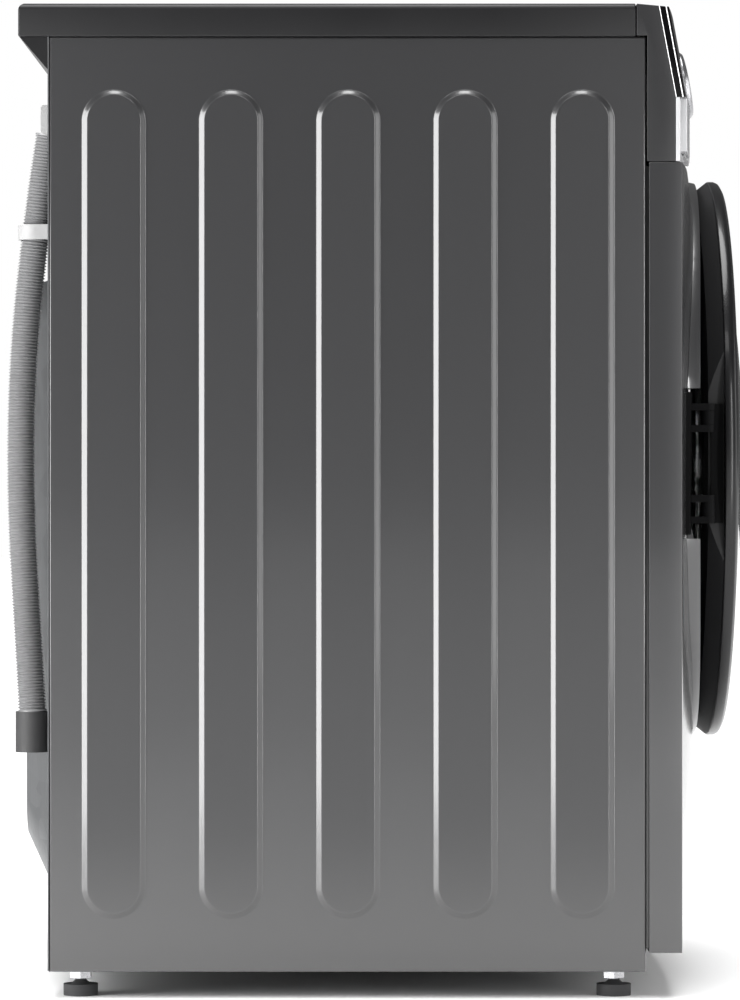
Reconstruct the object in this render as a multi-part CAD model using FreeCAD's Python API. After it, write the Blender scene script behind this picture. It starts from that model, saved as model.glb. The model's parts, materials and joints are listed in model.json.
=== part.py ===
import FreeCAD, Part
import math
import os

# Front-loading washing machine. Millimetres, +Z up, front towards -Y, door hinges on the -X side.
# Every depth below is a distance forward of the cabinet's back plane.

# Overall sizes
WIDTH = 600.0
HEIGHT = 850.0
CABINET_DEPTH = 510.0
FOOT_ROOM = 23.0            # floor to the bottom of the side panels
RUN_GAP = 0.3               # between faces of pieces that move past each other

# Cabinet
SHEET = 1.0
EMBOSS_PROUD = 3.0
EMBOSS_COUNT = 5
EMBOSS_WIDTH = 56.0
EMBOSS_FLAT_WIDTH = 44.0
EMBOSS_PITCH = 100.0
EMBOSS_FIRST = 55.5
EMBOSS_BOTTOM = 68.0
EMBOSS_TOP = 777.0
FLANGE = 20.0
WORKTOP_THICK = 28.5
WORKTOP_FRONT = 501.0
WORKTOP_OVERHANG = 26.0
WORKTOP_RIM = 22.0
SPACER_HEIGHT = 28.0
SPACER_WIDTH = 14.0
COVER_WIDTH = 440.0
COVER_BOTTOM = 81.0
COVER_TOP = 622.0
COVER_PROUD = 27.0
COVER_SLOPE = 50.0
PAN_DEPTH = 38.0
PAN_WALL = 2.0
PAN_ROOM = 2.0              # between the base pan and the side panels
PAN_POST_RADIUS = 12.0
PAN_POST_HEIGHT = 26.0
COVER_FLANGE = 10.0
COVER_INSET = 20.0          # from the cover's outline to the hole behind it
WINDOW_HALF = 19.0          # hole behind the hose holder
WINDOW_BOTTOM = 655.0
BRACE_SHEET = 2.0
SPRING_BEAM_BACK = 205.0
SPRING_BEAM_FRONT = 255.0
SPRING_BEAM_TOP = 777.0
SPRING_BEAM_DEPTH = 22.0
FRONT_BRACE_BACK = 440.0
FRONT_BRACE_FRONT = 498.0
FRONT_BRACE_BOTTOM = 812.0
FRONT_BRACE_LIP = 8.0
WORKTOP_EDGE_RADIUS = 6.0
BOARD_THICK = 20.5
BOARD_LEDGE = 12.0          # how far the surround reaches under the board

# Front panel and console
FRONT_SIDE_BACK = 512.5
FRONT_SIDE_EDGE = 540.4
FRONT_BOTTOM = 39.6
FRONT_TOP = 714.3
# How far the middle of the front stands ahead of its sides, at heights from the bottom up
FRONT_BULGES = ((FRONT_BOTTOM, 10.0), (70.0, 17.5), (115.0, 21.0), (200.0, 25.0), (464.0, 25.0), (680.0,
        25.0),
                (FRONT_TOP, 19.5))
CONSOLE_GAP = 0.8
CONSOLE_DROP = 4.2          # how far the crest of the console's top lies under the worktop's level
CONSOLE_BULGE = 18.0
CONSOLE_EDGE_TOP = 520.0
CONSOLE_EDGE_LOW = 535.0
FASCIA_THICK = 8.5
FASCIA_BOTTOM = 770.0
TRIM_THICK = 3.6
SHELL = 3.0
FRONT_FLANGE = 21.0
FRONT_FLANGE_ROOM = 9.0
FRONT_MIDDLE = 500.0        # a depth behind the whole front
FRONT_LIMIT = 620.0         # a depth ahead of the whole front

# Drum axis and door
AXIS_Z = 464.0
DOOR_RADIUS = 253.0
DOOR_FRONT = 593.0
RING_THICK = 12.0
RING_INNER = 207.0
CONE_RADIUS = 241.5
CONE_BACK = 567.5
HINGE_FLAT = 235.0
LATCH_X = 210.0
COVER_CROWN = 20.0
SURROUND_OUTER = 262.0
SURROUND_CREST = 250.0
SURROUND_EDGE = 554.9
SURROUND_BULGE = 14.6
DISH_MOUTH = 245.0
DISH_FLOOR = 226.0
DISH_BACK = 546.0
DISH_TURN = 562.0
DISH_FRONT = 590.0
DISH_WALL = 4.0
DISH_SHEET = 2.0
SURROUND_BACK = 538.0
SURROUND_FRONT = 575.0
HINGE_CUT_HALF = 65.0       # half height of the surround's cut-out for the hinge
PANEL_OPENING = 197.0
HINGE_X = -250.0
HINGE_FORWARD = 566.0
HINGE_HEIGHTS = (497.0, 418.0)
HINGE_PIN = 3.0
HINGE_BARREL = 6.0
PIN_CLEARANCE = 0.08
BARREL_HEIGHT = 12.0
LUG_HEIGHT = 6.0

# Tub and drum
TUB_RADIUS = 264.0
TUB_WALL = 4.0
TUB_BACK = 92.0
TUB_JOINT = 300.0
TUB_FRONT = 458.0
NECK_RADIUS = 172.0
NECK_FRONT = 478.0
DRUM_RADIUS = 244.0
DRUM_WALL = 1.0
DRUM_BACK = 125.0
DRUM_FRONT = 440.0
DRUM_MOUTH = 166.0
LIFTER_HEIGHT = 46.0
SHAFT_RADIUS = 12.5
SHAFT_BACK = 40.0
SHAFT_CLEARANCE = 0.05
BEARING_RADIUS = 26.0
BEARING_WIDTH = 15.0
STATOR_RADIUS = 112.0
ROTOR_AIR_GAP = 2.0
GLASS_RADIUS = 152.0
GLASS_BACK = 452.0
GLASS_WALL = 4.0

SPRING_X = 250.0
SPRING_FORWARD = 230.0
SPRING_RADIUS = 14.0
SPRING_INNER = 10.5
SPRING_BOTTOM = 590.0
DAMPER_X = 150.0
DAMPER_FORWARD = 380.0
DAMPER_RADIUS = 16.0
DAMPER_BORE = 13.0
DAMPER_ROD = 6.0
DAMPER_BOTTOM = 120.0
DAMPER_TOP = 212.0
DAMPER_PISTON = 10.0        # height of the piston inside the tube
WEIGHT_THICK = 36.0
WEIGHT_RADIUS = 255.0
WEIGHT_CUT = 70.0           # half height of the gap between the two weights
HEATER_ROD = 4.0
HEATER_HALF = 30.0
HEATER_FRONT = 270.0
SUMP_HALF = 80.0
SUMP_DEPTH = 24.0

# Feet
FOOT_PAD_RADIUS = 14.8
FOOT_PAD_HEIGHT = 10.0
FOOT_STEM = 5.0
FOOT_SIDE = 262.0
FOOT_REAR = 25.2
FOOT_FRONT = 484.0

# Controls
KNOB_RADIUS = 31.0
KNOB_Z = 805.0
KNOB_PROUD = 10.5
BUTTON_RADIUS = 7.0
BUTTON_TRAVEL = 1.0
BUTTON_DEPTH = 13.0
BOARD_DEPTH = 29.0
BUTTON_Z = 800.0
BUTTONS = (("power_button", 95.0), ("option_button_1", 170.0), ("option_button_2", 200.0),
           ("start_button", 245.0))
DRAWER_LEFT = -278.0
DRAWER_WIDTH = 180.0
DRAWER_BOTTOM = 725.0
DRAWER_TOP = 805.0
DRAWER_BACK = 300.0
DRAWER_WALL = 2.5

# Service flap and drain pump
FLAP_X = 215.0
FLAP_Z = 90.0
FLAP_WIDTH = 110.0
FLAP_HEIGHT = 70.0
FLAP_THICK = 3.0
FLAP_GAP = 0.8
PUMP_RADIUS = 32.0
IMPELLER_RADIUS = 24.0

# Drain hose on the back
HOSE_DIAMETER = 25.0
CUFF_RADIUS = 14.5
CUFF_LENGTH = 35.0
HOLDER_BOTTOM = 742.0
HOLDER_TOP = 767.0
HOLDER_PROUD = 10.0
STRAP_PROUD = 30.5
STRAP_BOTTOM = 651.0
STRAP_TOP = 664.0
STRAP_THICK = 2.4
STRAP_ROOM = 1.2
# Route of the hose: across, forward of the back plane, up
HOSE_ROUTE = ((-238.0, -3.0, 742.0), (-238.0, -9.0, 705.0), (-238.0, -16.0, 650.0),
              (-238.0, -23.0, 590.0), (-238.0, -27.3, 525.0), (-238.0, -28.5, 460.0),
              (-238.0, -27.0, 395.0), (-238.0, -23.9, 340.0), (-238.0, -20.9, 290.0),
              (-238.0, -18.2, 243.0))

# Connections on the back
INLET_X = 200.0
INLET_Z = 780.0
INLET_RADIUS = 13.2
INLET_LENGTH = 14.0
INLET_BOSS = 16.0           # shoulder that fills the hole in the back sheet
INLET_BORE = 8.0
INLET_FLANGE = 6.0
VALVE_HALF = 14.0
VALVE_FRONT = 44.0
GLAND_RADIUS = 8.0
GLAND_X = 240.0
GLAND_Z = 700.0

SPARE = 1.0                 # how far a cutting tool reaches past what it cuts
CONSOLE_TOP = HEIGHT - 0.5
THROUGH = 5.0               # reach of a tool that cuts through the back sheet
PANEL_TOP = HEIGHT - WORKTOP_THICK
SIDE = WIDTH / 2 - EMBOSS_PROUD
INSIDE = SIDE - SHEET
FRONT_MOST = DOOR_FRONT + COVER_CROWN
Y_SHIFT = (FRONT_MOST - STRAP_PROUD) / 2


def point(x, forward, z):
    """A point given by its distance forward of the back plane."""
    return FreeCAD.Vector(x, -forward, z)


def block(x0, x1, back, front, z0, z1):
    """A box between two distances forward of the back plane."""
    return Part.makeBox(x1 - x0, front - back, z1 - z0, point(x0, front, z0))


def disc(radius, back, front, x=0.0, z=AXIS_Z):
    """A cylinder along the machine's depth."""
    return Part.makeCylinder(radius, front - back, point(x, front, z), FreeCAD.Vector(0, 1, 0))


def tube(outer, inner, back, front, x=0.0, z=AXIS_Z):
    """A ring along the machine's depth."""
    return disc(outer, back, front, x, z).cut(disc(inner, back - 1, front + 1, x, z))


def cone(back_radius, front_radius, back, front):
    """A cone about the drum axis, from its back radius to its front radius."""
    return Part.makeCone(front_radius, back_radius, front - back, point(0, front, AXIS_Z),
                         FreeCAD.Vector(0, 1, 0))


def turned(outline):
    """Turn a closed outline of (radius, forward) pairs about the drum axis."""
    points = [point(radius, forward, AXIS_Z) for radius, forward in outline]
    face = Part.Face(Part.makePolygon(points + points[:1]))
    return face.revolve(point(0, 0, AXIS_Z), FreeCAD.Vector(0, 1, 0), 360)


def post(radius, x, forward, z0, z1):
    """An upright cylinder."""
    return Part.makeCylinder(radius, z1 - z0, point(x, forward, z0))


def joined(shapes):
    """One solid made of pieces that touch."""
    result = shapes[0]
    for shape in shapes[1:]:
        result = result.fuse(shape)
    return result.removeSplitter()


def group(shapes):
    """Separate solids that share one node."""
    return Part.makeCompound(shapes)


def without(shape, tools):
    """A shape less each of the tools."""
    for tool in tools:
        shape = shape.cut(tool)
    return shape


def save(shape, node):
    """Write one node, moved so that the origin is under the middle of the whole machine."""
    moved = shape.copy()
    moved.translate(FreeCAD.Vector(0, Y_SHIFT, 0))
    moved.exportStep("parts/" + node + ".step")


def slot_wire(x, middle, width, low, high):
    """An upright slot outline in the plane of a side panel."""
    radius = width / 2
    low_y, high_y = low + radius, high - radius
    left, right = middle + radius, middle - radius
    edges = [Part.LineSegment(point(x, left, low_y), point(x, left, high_y)).toShape(),
             Part.Arc(point(x, left, high_y), point(x, middle, high), point(x, right, high_y)).toShape(),
             Part.LineSegment(point(x, right, high_y), point(x, right, low_y)).toShape(),
             Part.Arc(point(x, right, low_y), point(x, middle, low), point(x, left, low_y)).toShape()]
    return Part.Wire(edges)


def emboss(side, middle, start, proud):
    """The raised field of one emboss, from the panel's inside to its raised flat."""
    bevel = (EMBOSS_WIDTH - EMBOSS_FLAT_WIDTH) / 2
    low = slot_wire(side * start, middle, EMBOSS_WIDTH, EMBOSS_BOTTOM, EMBOSS_TOP)
    high = slot_wire(side * (start + proud), middle, EMBOSS_FLAT_WIDTH, EMBOSS_BOTTOM + bevel,
                     EMBOSS_TOP - bevel)
    return Part.makeLoft([low, high], True, True)


def side_panel(side):
    """One folded side panel with its five raised fields."""
    outer = block(-SIDE, -INSIDE, 0, CABINET_DEPTH, FOOT_ROOM, PANEL_TOP)
    flanges = [block(-INSIDE, -INSIDE + FLANGE, 0, SHEET, FOOT_ROOM, PANEL_TOP),
               block(-INSIDE, -INSIDE + FLANGE, CABINET_DEPTH - SHEET, CABINET_DEPTH, FOOT_ROOM, PANEL_TOP),
               block(-INSIDE, -INSIDE + FLANGE, 0, CABINET_DEPTH, FOOT_ROOM, FOOT_ROOM + SHEET),
               block(-INSIDE, -INSIDE + FLANGE / 2, 0, CABINET_DEPTH, PANEL_TOP - SHEET, PANEL_TOP)]
    panel = joined([outer] + flanges)
    for index in range(EMBOSS_COUNT):
        middle = EMBOSS_FIRST + index * EMBOSS_PITCH
        panel = panel.fuse(emboss(-1, middle, SIDE, EMBOSS_PROUD))
        panel = panel.cut(emboss(-1, middle, INSIDE, EMBOSS_PROUD))
    if side > 0:
        panel = panel.mirror(FreeCAD.Vector(0, 0, 0), FreeCAD.Vector(1, 0, 0))
    return panel


def rounded_rectangle(forward, half_width, low, high, radius):
    """A rounded rectangle in a plane across the machine's depth."""
    plate = block(-half_width, half_width, forward, forward + 1, low, high)
    upright = [edge for edge in plate.Edges if abs(edge.Vertexes[0].Y - edge.Vertexes[1].Y) > 0.5]
    plate = plate.makeFillet(radius, upright)
    return max(plate.Faces, key=lambda face: face.CenterOfMass.y).OuterWire


def rear_dome(extra):
    """The pressed bulge of the rear cover, smaller by a wall when extra is negative."""
    half = COVER_WIDTH / 2 + extra
    base = rounded_rectangle(0.0, half, COVER_BOTTOM - extra, COVER_TOP + extra, 40.0 + extra)
    top = rounded_rectangle(-COVER_PROUD - extra, half - COVER_SLOPE, COVER_BOTTOM + COVER_SLOPE - extra,
                            COVER_TOP - 8.0 + extra, 30.0 + extra)
    return Part.makeLoft([base, top], True, True)


def bulge_wire(z, edge, back, sagitta, half):
    """Plan outline of a bulged front: a straight back, two returns and an arc."""
    edges = [Part.LineSegment(point(-half, back, z), point(-half, edge, z)).toShape(),
             Part.Arc(point(-half, edge, z), point(0, edge + sagitta, z), point(half, edge, z)).toShape(),
             Part.LineSegment(point(half, edge, z), point(half, back, z)).toShape(),
             Part.LineSegment(point(half, back, z), point(-half, back, z)).toShape()]
    return Part.Wire(edges)


def front_bulge(offset, back, half, inset=0.0):
    """The volume behind the front panel's face, moved forward by an offset and shortened by an inset."""
    levels = [(min(max(z, FRONT_BOTTOM + inset), FRONT_TOP - inset), sagitta) for z,
              sagitta in FRONT_BULGES]
    wires = [bulge_wire(z, FRONT_SIDE_EDGE + offset, back, sagitta, half) for z, sagitta in levels]
    return Part.makeLoft(wires, True, False)


def console_body(offset, back, half, low, high):
    """The volume behind the leaning console face, moved forward by an offset."""
    lean = (CONSOLE_EDGE_LOW - CONSOLE_EDGE_TOP) / (HEIGHT - FASCIA_BOTTOM)

    def edge_at(z):
        return CONSOLE_EDGE_LOW - lean * max(0.0, z - FASCIA_BOTTOM) + offset

    levels = [low] + ([FASCIA_BOTTOM] if low < FASCIA_BOTTOM < high else []) + [high]
    wires = [bulge_wire(z, edge_at(z), back, CONSOLE_BULGE, half) for z in levels]
    return Part.makeLoft(wires, True, True)


def console_face_at(x, z):
    """How far forward the fascia's front stands at a place across and up."""
    half = WIDTH / 2
    radius = (half ** 2 + CONSOLE_BULGE ** 2) / (2 * CONSOLE_BULGE)
    lean = (CONSOLE_EDGE_LOW - CONSOLE_EDGE_TOP) / (HEIGHT - FASCIA_BOTTOM)
    edge = CONSOLE_EDGE_LOW - lean * (z - FASCIA_BOTTOM)
    return edge + CONSOLE_BULGE - radius + math.sqrt(radius ** 2 - x ** 2) + FASCIA_THICK


LEAN = math.degrees(math.atan2(CONSOLE_EDGE_LOW - CONSOLE_EDGE_TOP, HEIGHT - FASCIA_BOTTOM))


def leaning(shape, x, z):
    """Set a shape, made with its own -Y pointing out, square on the leaning fascia at a place."""
    shape.rotate(FreeCAD.Vector(0, 0, 0), FreeCAD.Vector(1, 0, 0), -LEAN)
    shape.translate(point(x, console_face_at(x, z), z))
    return shape


def console_disc(radius, x, z, low, high):
    """A cylinder square to the fascia, between two heights above its face."""
    disc_shape = Part.makeCylinder(radius, high - low, FreeCAD.Vector(0, -high, 0), FreeCAD.Vector(0, 1, 0))
    return leaning(disc_shape, x, z)


def make_cabinet():
    """Side panels, back, base and braces."""
    save(side_panel(-1), "side_panel_left")
    save(side_panel(1), "side_panel_right")
    window = block(HOSE_ROUTE[0][0] - WINDOW_HALF, HOSE_ROUTE[0][0] + WINDOW_HALF, -THROUGH, THROUGH,
                   WINDOW_BOTTOM,
                   HOLDER_TOP)
    hole = COVER_WIDTH / 2 - COVER_INSET
    cut_outs = [block(-hole, hole, -THROUGH, THROUGH, COVER_BOTTOM + COVER_INSET, COVER_TOP - COVER_INSET),
                window, disc(INLET_BOSS + RUN_GAP, -THROUGH, THROUGH, INLET_X, INLET_Z),
                disc(GLAND_RADIUS + RUN_GAP, -THROUGH, THROUGH, GLAND_X, GLAND_Z)]
    back = without(block(-SIDE, SIDE, -SHEET, 0, FOOT_ROOM + SHEET, PANEL_TOP), cut_outs)
    save(back, "rear_panel")
    reach = COVER_WIDTH / 2 + COVER_FLANGE
    flange = block(-reach, reach, -SHEET, 0, COVER_BOTTOM - COVER_FLANGE, COVER_TOP + COVER_FLANGE)
    cover = flange.fuse(rear_dome(0.0)).cut(rear_dome(-SHEET))
    cover.translate(point(0, -SHEET, 0))
    save(cover, "rear_cover")

    pan_side = INSIDE - PAN_ROOM
    inner_side = pan_side - PAN_WALL
    floor = FOOT_ROOM + SHEET
    pan = block(-pan_side, pan_side, PAN_ROOM, CABINET_DEPTH - PAN_ROOM, floor, floor + PAN_DEPTH)
    pan = pan.cut(block(-inner_side, inner_side, PAN_ROOM + PAN_WALL, CABINET_DEPTH - PAN_ROOM - PAN_WALL,
                        floor + PAN_WALL, floor + PAN_DEPTH + SPARE))
    for x, forward in foot_places():
        pan = pan.fuse(post(PAN_POST_RADIUS, x, forward, floor, floor + PAN_POST_HEIGHT))
        pan = pan.cut(post(FOOT_STEM + PIN_CLEARANCE, x, forward, floor - SPARE,
                           floor + PAN_POST_HEIGHT + SPARE))
    save(pan, "base_pan")

    top = SPRING_BEAM_TOP - BRACE_SHEET
    low = SPRING_BEAM_TOP - SPRING_BEAM_DEPTH
    spring_beam = joined([
        block(-INSIDE, INSIDE, SPRING_BEAM_BACK, SPRING_BEAM_FRONT, top, SPRING_BEAM_TOP),
        block(-INSIDE, INSIDE, SPRING_BEAM_BACK, SPRING_BEAM_BACK + BRACE_SHEET, low, top),
        block(-INSIDE, INSIDE, SPRING_BEAM_FRONT - BRACE_SHEET, SPRING_BEAM_FRONT, low, top)])
    level = FRONT_BRACE_BOTTOM + BRACE_SHEET
    front_brace = joined([
        block(-INSIDE, INSIDE, FRONT_BRACE_BACK, FRONT_BRACE_FRONT, FRONT_BRACE_BOTTOM, level),
        block(-INSIDE, INSIDE, FRONT_BRACE_BACK, FRONT_BRACE_BACK + BRACE_SHEET, level,
              FRONT_BRACE_BOTTOM + FRONT_BRACE_LIP)])
    save(group([spring_beam, front_brace]), "crossbars")


def make_worktop():
    """Worktop surround, its board and the two brackets under the rear overhang."""
    rim = block(-WIDTH / 2, WIDTH / 2, -WORKTOP_OVERHANG, WORKTOP_FRONT, PANEL_TOP, HEIGHT)
    soft = [edge for edge in rim.Edges
            if edge.CenterOfMass.z > HEIGHT - 1 and edge.CenterOfMass.y > -WORKTOP_FRONT + 1]
    rim = rim.makeFillet(WORKTOP_EDGE_RADIUS, soft)
    side, back, front = WIDTH / 2 - WORKTOP_RIM, WORKTOP_RIM - WORKTOP_OVERHANG, WORKTOP_FRONT - WORKTOP_RIM
    rim = rim.cut(block(-side, side, back, front, HEIGHT - BOARD_THICK, HEIGHT + SPARE))
    rim = rim.cut(block(-side + BOARD_LEDGE, side - BOARD_LEDGE, back + BOARD_LEDGE, front - BOARD_LEDGE,
                        PANEL_TOP - SPARE, HEIGHT + SPARE))
    save(rim, "worktop_surround")
    board = block(-side + RUN_GAP, side - RUN_GAP, back + RUN_GAP, front - RUN_GAP,
                  HEIGHT - BOARD_THICK, HEIGHT)
    save(board, "worktop_board")
    spacers = []
    for x in (-SIDE, SIDE - SPACER_WIDTH):
        corners = [point(x, -SHEET, PANEL_TOP), point(x, -WORKTOP_OVERHANG + 1, PANEL_TOP),
                   point(x, -SHEET, PANEL_TOP - SPACER_HEIGHT)]
        face = Part.Face(Part.makePolygon(corners + corners[:1]))
        spacers.append(face.extrude(FreeCAD.Vector(SPACER_WIDTH, 0, 0)))
    save(group(spacers), "worktop_spacers")


def flap_box(gap):
    """The service flap's outline, larger by a gap on every side."""
    return block(FLAP_X - FLAP_WIDTH / 2 - gap, FLAP_X + FLAP_WIDTH / 2 + gap, FRONT_MIDDLE, FRONT_LIMIT,
                 FLAP_Z - FLAP_HEIGHT / 2 - gap, FLAP_Z + FLAP_HEIGHT / 2 + gap)


def make_front():
    """Bulged front panel, the raised surround of the door and the service flap."""
    half = WIDTH / 2
    solid_front = front_bulge(0.0, FRONT_SIDE_BACK, half)
    panel = solid_front.cut(front_bulge(-SHEET, FRONT_SIDE_BACK - 5, half - SHEET, SHEET))
    panel = without(panel, [disc(DISH_MOUTH + DISH_WALL + RUN_GAP, FRONT_MIDDLE, FRONT_LIMIT),
                            flap_box(FLAP_GAP)])
    for side in (-1, 1):
        for reach, back, front in ((half - SHEET / 2, FRONT_SIDE_BACK, FRONT_SIDE_BACK + SHEET),
                                   (half - FRONT_FLANGE_ROOM, CABINET_DEPTH, FRONT_SIDE_BACK + SHEET / 2)):
            low, high = sorted((side * (half - FRONT_FLANGE), side * reach))
            panel = panel.fuse(block(low, high, back, front, FRONT_BOTTOM + 3, FRONT_TOP - 3))
    save(panel, "front_panel")

    proud = Part.makeLoft([bulge_wire(z, SURROUND_EDGE, FRONT_SIDE_BACK, SURROUND_BULGE, half)
                           for z in (FRONT_BOTTOM, FRONT_TOP)], True, True)
    rim = cone(SURROUND_OUTER, SURROUND_CREST, SURROUND_BACK, SURROUND_FRONT)
    rim = rim.cut(disc(DISH_MOUTH + SPARE, FRONT_MIDDLE, FRONT_LIMIT)).cut(solid_front)
    floor = DISH_BACK + DISH_SHEET
    dish = turned([(PANEL_OPENING, DISH_BACK), (PANEL_OPENING, floor), (DISH_FLOOR, floor),
                   (DISH_MOUTH, DISH_TURN), (DISH_MOUTH, DISH_FRONT), (DISH_MOUTH + DISH_WALL, DISH_FRONT),
                   (DISH_MOUTH + DISH_WALL, DISH_TURN - 6), (DISH_FLOOR + 2 * DISH_WALL, DISH_BACK)])
    surround = rim.fuse(dish).common(proud)
    hinge_middle = sum(HINGE_HEIGHTS) / 2
    low, high = hinge_middle - HINGE_CUT_HALF, hinge_middle + HINGE_CUT_HALF
    surround = surround.cut(block(HINGE_X - 20, HINGE_X + HINGE_BARREL + RUN_GAP, FRONT_MIDDLE,
                                  FRONT_LIMIT, low, high))
    surround = surround.cut(block(HINGE_X, HINGE_X + 25, DISH_BACK + 3, FRONT_LIMIT, low, high))
    surround = surround.cut(block(LATCH_X - 7, LATCH_X + 9, FRONT_MIDDLE, FRONT_LIMIT, AXIS_Z - 13,
                                  AXIS_Z + 13))
    save(max(surround.Solids, key=lambda solid: solid.Volume), "door_surround")

    flap = solid_front.cut(front_bulge(-FLAP_THICK, FRONT_SIDE_BACK - 5, half, 0.0)).common(flap_box(0.0))
    save(flap, "service_flap")


def console_slope(back):
    """What the console's falling top takes away, from the worktop's front edge forward."""
    crest = CONSOLE_EDGE_TOP + CONSOLE_BULGE + FASCIA_THICK
    drop = CONSOLE_DROP * (FRONT_LIMIT - back) / (crest - back)
    outline = [point(-WIDTH, back - SPARE, CONSOLE_TOP), point(-WIDTH, back - SPARE, HEIGHT + SHELL),
               point(-WIDTH, FRONT_LIMIT, HEIGHT + SHELL), point(-WIDTH, FRONT_LIMIT, CONSOLE_TOP - drop)]
    wedge = Part.Face(Part.makePolygon(outline + outline[:1]))
    return wedge.extrude(FreeCAD.Vector(2 * WIDTH, 0, 0))


def make_console():
    """Console housing, black fascia, bright trim, board, knob and buttons."""
    half = WIDTH / 2
    low, top = FRONT_TOP + CONSOLE_GAP, HEIGHT - 2
    back = WORKTOP_FRONT + CONSOLE_GAP
    above = console_slope(back)
    corner = block(-half - 1, half + 1, back - 1, CABINET_DEPTH + CONSOLE_GAP, low - 1,
                   PANEL_TOP + CONSOLE_GAP)
    housing = console_body(0.0, back, half, low, CONSOLE_TOP).cut(corner).cut(above)
    hollow = console_body(-SHELL, back - 5, half - SHELL, low + SHELL, top - SHELL)
    drawer_hole = block(DRAWER_LEFT - 1, DRAWER_LEFT + DRAWER_WIDTH + 1, 480, 600, DRAWER_BOTTOM - 1,
                        DRAWER_TOP + 1)
    holes = [drawer_hole, console_disc(4.0 + RUN_GAP, 0, KNOB_Z, -40, 5)]
    for _, x in BUTTONS:
        holes.append(console_disc(BUTTON_RADIUS + RUN_GAP, x, BUTTON_Z, -40, 5))
    save(without(housing, [hollow] + holes), "console_housing")

    face = console_body(FASCIA_THICK, back, half, FASCIA_BOTTOM, CONSOLE_TOP).cut(
        console_body(0.0, back - SPARE, half + SPARE, low - SPARE, HEIGHT))
    save(without(face, [above] + holes), "console_fascia")
    trim = console_body(TRIM_THICK, back, half, low, FASCIA_BOTTOM - RUN_GAP).cut(
        console_body(0.0, back - SPARE, half + SPARE, low - SPARE, HEIGHT))
    save(trim.cut(drawer_hole), "console_trim")

    length = BUTTONS[-1][1] + 50
    board = leaning(Part.makeBox(length, 1.6, 44, FreeCAD.Vector(-30, BOARD_DEPTH, -22)), 0, BUTTON_Z)
    bush = console_disc(9.0, 0, KNOB_Z, -BOARD_DEPTH - 1, -14)
    supports = [leaning(Part.makeBox(6, BOARD_DEPTH - 8, 6, FreeCAD.Vector(x, 8, -20)), 0, BUTTON_Z)
                for x in (-28, length - 38)]
    switches = [console_disc(4.0, x, BUTTON_Z, -BOARD_DEPTH, -BUTTON_DEPTH - BUTTON_TRAVEL - RUN_GAP)
                for _, x in BUTTONS]
    board = joined([board, bush] + supports + switches).cut(console_disc(4.0 + PIN_CLEARANCE, 0, KNOB_Z,
            -21, 0))
    board = board.common(console_body(-SHELL, back, half - SHELL, low + SHELL, top - SHELL))
    save(max(board.Solids, key=lambda solid: solid.Volume), "control_board")

    cap = console_disc(KNOB_RADIUS, 0, KNOB_Z, 0.5, KNOB_PROUD)
    rims = [edge for edge in cap.Edges if len(edge.Vertexes) == 1]
    cap = cap.makeChamfer(3.0, [min(rims, key=lambda edge: edge.CenterOfMass.y)])
    save(cap.fuse(console_disc(4.0, 0, KNOB_Z, -20, 0.5)), "program_knob")
    for name, x in BUTTONS:
        save(console_disc(BUTTON_RADIUS, x, BUTTON_Z, -BUTTON_DEPTH, 1.6), name)


def make_drawer():
    """Detergent drawer, its front and the housing that it slides in."""
    right = DRAWER_LEFT + DRAWER_WIDTH
    low, high = DRAWER_BOTTOM + 3, DRAWER_TOP - 3
    front = CONSOLE_EDGE_LOW - 10
    tray = block(DRAWER_LEFT + 4, right - 4, DRAWER_BACK, front, low, high)
    first = DRAWER_LEFT + 4 + DRAWER_WALL
    pitch = (right - 4 - DRAWER_WALL - first + DRAWER_WALL) / 3
    for index in range(3):
        start = first + index * pitch
        tray = tray.cut(block(start, start + pitch - DRAWER_WALL, DRAWER_BACK + DRAWER_WALL,
                              front - DRAWER_WALL, low + DRAWER_WALL, high + 1))
    save(tray, "drawer_tray")
    outer = console_body(FASCIA_THICK, WORKTOP_FRONT, WIDTH / 2, FRONT_TOP + CONSOLE_GAP, HEIGHT - 2)
    plate = outer.common(block(DRAWER_LEFT, right, front, 600, DRAWER_BOTTOM, DRAWER_TOP))
    grip = block(DRAWER_LEFT + 35, right - 35, front - 1, 546, DRAWER_BOTTOM - 1, DRAWER_BOTTOM + 24)
    save(plate.cut(grip), "drawer_front")
    wall = 2.5
    gap = 1.0
    case = block(DRAWER_LEFT + 4 - gap - wall, right - 4 + gap + wall, DRAWER_BACK - 8 - wall, 498,
                 low - RUN_GAP - wall,
                 high + 2)
    case = case.cut(block(DRAWER_LEFT + 4 - gap, right - 4 + gap, DRAWER_BACK - 8, 510, low - RUN_GAP,
                          high + 3))
    save(case, "dispenser_housing")


def foot_places():
    """Across and forward places of the four feet."""
    return [(-FOOT_SIDE, FOOT_REAR), (FOOT_SIDE, FOOT_REAR), (-FOOT_SIDE, FOOT_FRONT), (FOOT_SIDE,
            FOOT_FRONT)]


def hexagon(across_flats, x, forward, z0, z1):
    """An upright hexagonal prism."""
    corner = across_flats / math.sqrt(3)
    points = [point(x + corner * math.cos(math.radians(60 * n)),
                    forward + corner * math.sin(math.radians(60 * n)), z0)
              for n in range(7)]
    return Part.Face(Part.makePolygon(points)).extrude(FreeCAD.Vector(0, 0, z1 - z0))


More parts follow.
